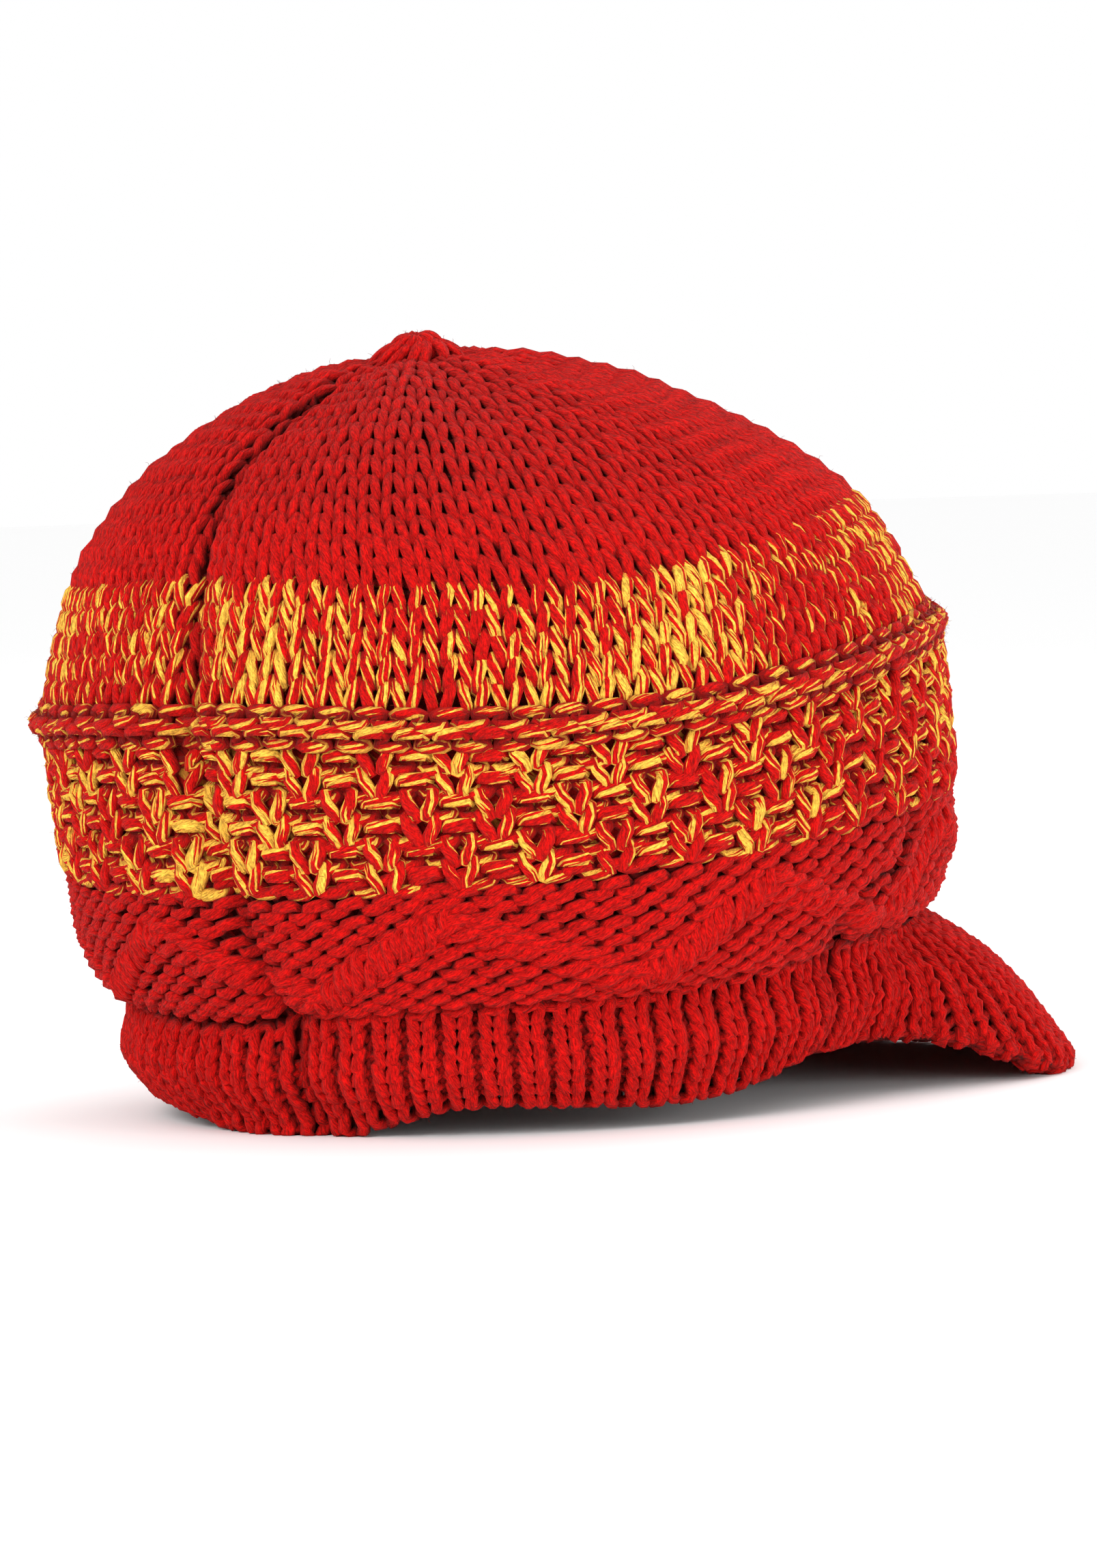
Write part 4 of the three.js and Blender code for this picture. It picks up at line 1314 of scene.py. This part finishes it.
class CAP_OT_peak(bpy.types.Operator):
    """Knit the peak: ribbing over its top, round its edge and back under it."""
    bl_idname = "knit_cap.peak"
    bl_label = "Peak"

    def execute(self, context):
        ribs = rib_count(PEAK_SPREAD)
        fabric = Fabric()
        knots = np.linspace(-PEAK_SPREAD, PEAK_SPREAD, 145)
        lengths = peak_length(knots)
        row_height = PEAK_ROW * context.scene.knit_cap_sizes.rib_row / MM
        rows = int(lengths.max() / row_height)
        for under in (False, True):
            for row in range(rows):
                self.course(fabric, ribs, row, row_height, knots, lengths, under)
        for index, roll in enumerate(PEAK_ROLLS):
            self.edge_course(fabric, ribs, math.radians(roll), index)
        piece = new_piece("peak_knit", fabric, "peak", red_yarn(), fuzz=PEAK_FUZZ)

        def web_place(x, y):
            angle = PEAK_SPREAD * (1 - 2 * x)
            reach = PEAK_TABLE.at(np.abs(angle) / PEAK_SPREAD)[0]
            tuck = PEAK_WEB_TUCK * reach
            share = (1 + tuck) * (1 - np.abs(2 * y - 1)) - tuck
            normal, _, thickness = peak_frame(angle, share)
            core = 0.5 * np.maximum(thickness - PEAK_WEB_INSET, PEAK_WEB_LEAST)
            core = core * np.sqrt(np.clip(1 - share ** 6, 0, 1))
            deep = -thickness / 2 + np.where(y < 0.5, core, -core)
            longer = 1 + PEAK_WEB_LONGER * (1 - reach) ** 2 - PEAK_WEB_SHORTER * reach
            return peak_skin(angle, share * longer) + normal * deep[:, None]

        add_web(piece, web_place, WEB_ROWS["peak"], columns=PEAK_WEB_COLUMNS, thickness=0)
        return {"FINISHED"}

    def course(self, fabric, ribs, row, row_height, knots, lengths, under):
        points = 10
        wales = 2 * ribs
        rng = np.random.default_rng(800 + row + 100 * under)
        across, up, bow = courses(rib_pattern(ribs, 1), points, **LOOPS["rib"])
        across, out = rib_warp(across[0] + wander(rng, 1, wales, points, RIB_STRAY)[0])
        angle = PEAK_SPREAD * (1 - 2 * across / wales)
        far = (row + up[0] + wander(rng, 1, wales, points, RIB_ROW_STRAY)[0]) * row_height
        length = np.interp(angle, knots, lengths)
        keep = far < length - PEAK_LAST
        if keep.sum() < 3 * points:
            return
        first, last = np.flatnonzero(keep)[[0, -1]]
        inside = slice(first, last + 1)
        angle, far, length = angle[inside], far[inside], length[inside]
        share = np.clip(far / length, 0, 0.98)
        lift = MIDDLE + bow[0][inside] + out[inside]
        normal, _, thickness = peak_frame(angle, share)
        place = peak_skin(angle, share)
        if under:
            place = place - normal * thickness[:, None]
            normal = -normal
        paths = place + normal * lift[:, None]
        sides = 4 if under else 6
        fabric.add(paths[None], normal[None], PEAK_YARN, (lift - MIDDLE)[None], points, False,
                   sides=sides, seed=900 + row)

    def edge_course(self, fabric, ribs, roll, index):
        points = 10
        rng = np.random.default_rng(990 + index)
        wales = 2 * ribs
        across, up, bow = courses(rib_pattern(ribs, 1), points, **LOOPS["edge"])
        across, out = rib_warp(across[0] + wander(rng, 1, wales, points, RIB_STRAY)[0])
        angle = PEAK_SPREAD * (1 - 2 * across / wales)
        normal, down, thickness = peak_frame(angle, np.ones_like(angle))
        half = thickness / 2
        centre = peak_skin(angle, np.ones_like(angle)) - normal * half[:, None]
        centre = centre - down * (half - PEAK_EDGE_ROUND)[:, None]
        turned = roll + (up[0] - 0.5) * 0.9
        outward = normal * np.cos(turned)[:, None] + down * np.sin(turned)[:, None]
        lift = MIDDLE + bow[0] + out
        paths = centre + outward * (half + lift)[:, None]
        fabric.add(paths[None], outward[None], PEAK_YARN, (lift - MIDDLE)[None], points, False,
                   seed=995 + index)


class CAP_OT_crown_gather(bpy.types.Operator):
    """Draw the last stitches of the crown together at the top."""
    bl_idname = "knit_cap.crown_gather"
    bl_label = "Crown gather"

    def execute(self, context):
        fabric = Fabric()
        apex = skin(np.array(0.0), np.array(APEX))
        rng = np.random.default_rng(91)
        count, points = GATHER_COUNT, 12
        s = np.linspace(0, 1, points)[None, :]
        for tier, (outer, inner, top, thick) in enumerate(GATHER_TIERS):
            around = 2 * math.pi * (np.arange(count) + 0.5 * tier) / count
            around = (around + rng.normal(0, GATHER_STRAY, count))[:, None] + GATHER_CURL * s
            far = outer + (inner - outer) * s
            up = -GATHER_FALL * (1 - s) ** 2 + top * np.sin(math.pi * (0.15 + 0.6 * s))
            up = up + rng.normal(0, GATHER_LIFT_STRAY, (count, 1))
            paths = np.stack([-far * np.sin(around), far * np.cos(around), up], axis=-1) + apex
            normal = np.broadcast_to(np.array([0.0, 0.0, 1.0]), paths.shape)
            radius = thick * (0.55 + 0.45 * np.sin(math.pi * np.clip(0.1 + 0.8 * s, 0, 1)))
            # A fixed bow, which sets only the shade painted on the gather's yarn
            bow = np.broadcast_to(np.array(GATHER_BOW), paths.shape[:2])
            fabric.add(paths, normal, np.broadcast_to(radius, paths.shape[:2]), bow, points - 1, False,
                       seed=92 + tier)
        new_piece("crown_gather_knit", fabric, "crown_gather", red_yarn(),
                  fuzz=GATHER_FUZZ)
        return {"FINISHED"}


class CAP_OT_stage(bpy.types.Operator):
    """Set the pale floor, the soft lights and the camera."""
    bl_idname = "knit_cap.stage"
    bl_label = "Stage"

    def execute(self, context):
        self.floor(context)
        self.lights(context)
        self.camera(context)
        return {"FINISHED"}

    def floor(self, context):
        bm = bmesh.new()
        bmesh.ops.create_circle(bm, cap_ends=True, segments=96, radius=FLOOR_RADIUS)
        mesh = bpy.data.meshes.new("floor")
        bm.to_mesh(mesh)
        bm.free()
        floor = bpy.data.objects.new("floor", mesh)
        context.collection.objects.link(floor)
        material = bpy.data.materials.new("pale_floor")
        material.use_nodes = True
        shader = material.node_tree.nodes["Principled BSDF"]
        shader.inputs["Base Color"].default_value = FLOOR_COLOUR
        shader.inputs["Roughness"].default_value = 0.9
        mesh.materials.append(material)
        world = context.scene.world or bpy.data.worlds.new("studio")
        context.scene.world = world
        world.use_nodes = True
        background = world.node_tree.nodes["Background"]
        background.inputs["Color"].default_value = (1.0, 1.0, 1.0, 1.0)
        background.inputs["Strength"].default_value = 1.0
        context.scene.view_settings.view_transform = "Standard"

    def lights(self, context):
        back, right, _ = camera_axes()
        for name, offset, size, power in (
            ("key", back * 1.2 - right * 0.7 + Vector((0, 0, 0.6)), 0.7, 13.5),
            ("fill", back * 1.2 + right * 1.3 + Vector((0, 0, 0.1)), 0.9, 19.0),
            ("front", Vector((0.0, -1.5, 0.7)), 1.2, 9.0),
        ):
            data = bpy.data.lights.new(name, "AREA")
            data.shape = "DISK"
            data.size = size
            data.energy = power
            lamp = bpy.data.objects.new(name, data)
            context.collection.objects.link(lamp)
            lamp.location = LIGHT_AIM + offset
            lamp.rotation_euler = (-offset).to_track_quat("-Z", "Y").to_euler()

    def camera(self, context):
        back, right, up = camera_axes()
        place = CAMERA_MARK + back * CAMERA_AWAY
        aim = CAMERA_MARK + right * CAMERA_OFFSET[0] + up * CAMERA_OFFSET[1]
        behind = (place - aim).normalized()
        side = up.cross(behind).normalized()
        data = bpy.data.cameras.new("camera")
        data.sensor_fit = "VERTICAL"
        data.sensor_height = SENSOR
        data.lens = SENSOR * CAMERA_AWAY / FRAME_HEIGHT
        camera = bpy.data.objects.new("camera", data)
        context.collection.objects.link(camera)
        turned = Matrix((side, behind.cross(side), behind)).transposed()
        camera.matrix_world = Matrix.Translation(place) @ turned.to_4x4()
        context.scene.camera = camera


def camera_axes():
    """The camera's back, right and up directions, as measured in the photograph."""
    turn, rise = math.radians(CAMERA_TURN), math.radians(CAMERA_RISE)
    back = Vector((math.sin(turn) * math.cos(rise), -math.cos(turn) * math.cos(rise), math.sin(rise)))
    right = Vector((0, 0, 1)).cross(back).normalized()
    up = back.cross(right)
    roll = math.radians(CAMERA_ROLL)
    tilt = Matrix.Rotation(math.radians(CAMERA_TILT), 3, "X")
    rolled_right = right * math.cos(roll) + up * math.sin(roll)
    rolled_up = up * math.cos(roll) - right * math.sin(roll)
    return tilt @ back, tilt @ rolled_right, tilt @ rolled_up


STEPS = (
    CAP_OT_rib_brim, CAP_OT_peak, CAP_OT_cable_band, CAP_OT_basket_band, CAP_OT_purl_ridge,
    CAP_OT_marl_stripe, CAP_OT_crown, CAP_OT_crown_gather, CAP_OT_stage,
)


class CAP_PT_panel(bpy.types.Panel):
    bl_label = "Knit Cap"
    bl_idname = "CAP_PT_panel"
    bl_space_type = "VIEW_3D"
    bl_region_type = "UI"
    bl_category = "Knit Cap"

    def draw(self, context):
        layout = self.layout
        sizes = context.scene.knit_cap_sizes
        for name in ("wales", "wide_wales", "yarn", "crown_row", "rib_row"):
            layout.prop(sizes, name)
        look = context.scene.knit_cap_look
        for name in ("red", "shade_red", "marl_shade_red", "yellow", "shade_yellow", "yellow_level"):
            layout.prop(look, name)
        for step in STEPS:
            layout.operator(step.bl_idname)


CLASSES = (KnitCapSizes, KnitCapLook, *STEPS, CAP_PT_panel)


def register():
    for cls in CLASSES:
        bpy.utils.register_class(cls)
    bpy.types.Scene.knit_cap_sizes = bpy.props.PointerProperty(type=KnitCapSizes)
    bpy.types.Scene.knit_cap_look = bpy.props.PointerProperty(type=KnitCapLook)


def unregister():
    del bpy.types.Scene.knit_cap_look
    del bpy.types.Scene.knit_cap_sizes
    for cls in reversed(CLASSES):
        bpy.utils.unregister_class(cls)


def main():
    register()
    for step in STEPS:
        group, name = step.bl_idname.split(".")
        getattr(getattr(bpy.ops, group), name)()


if __name__ == "__main__":
    main()
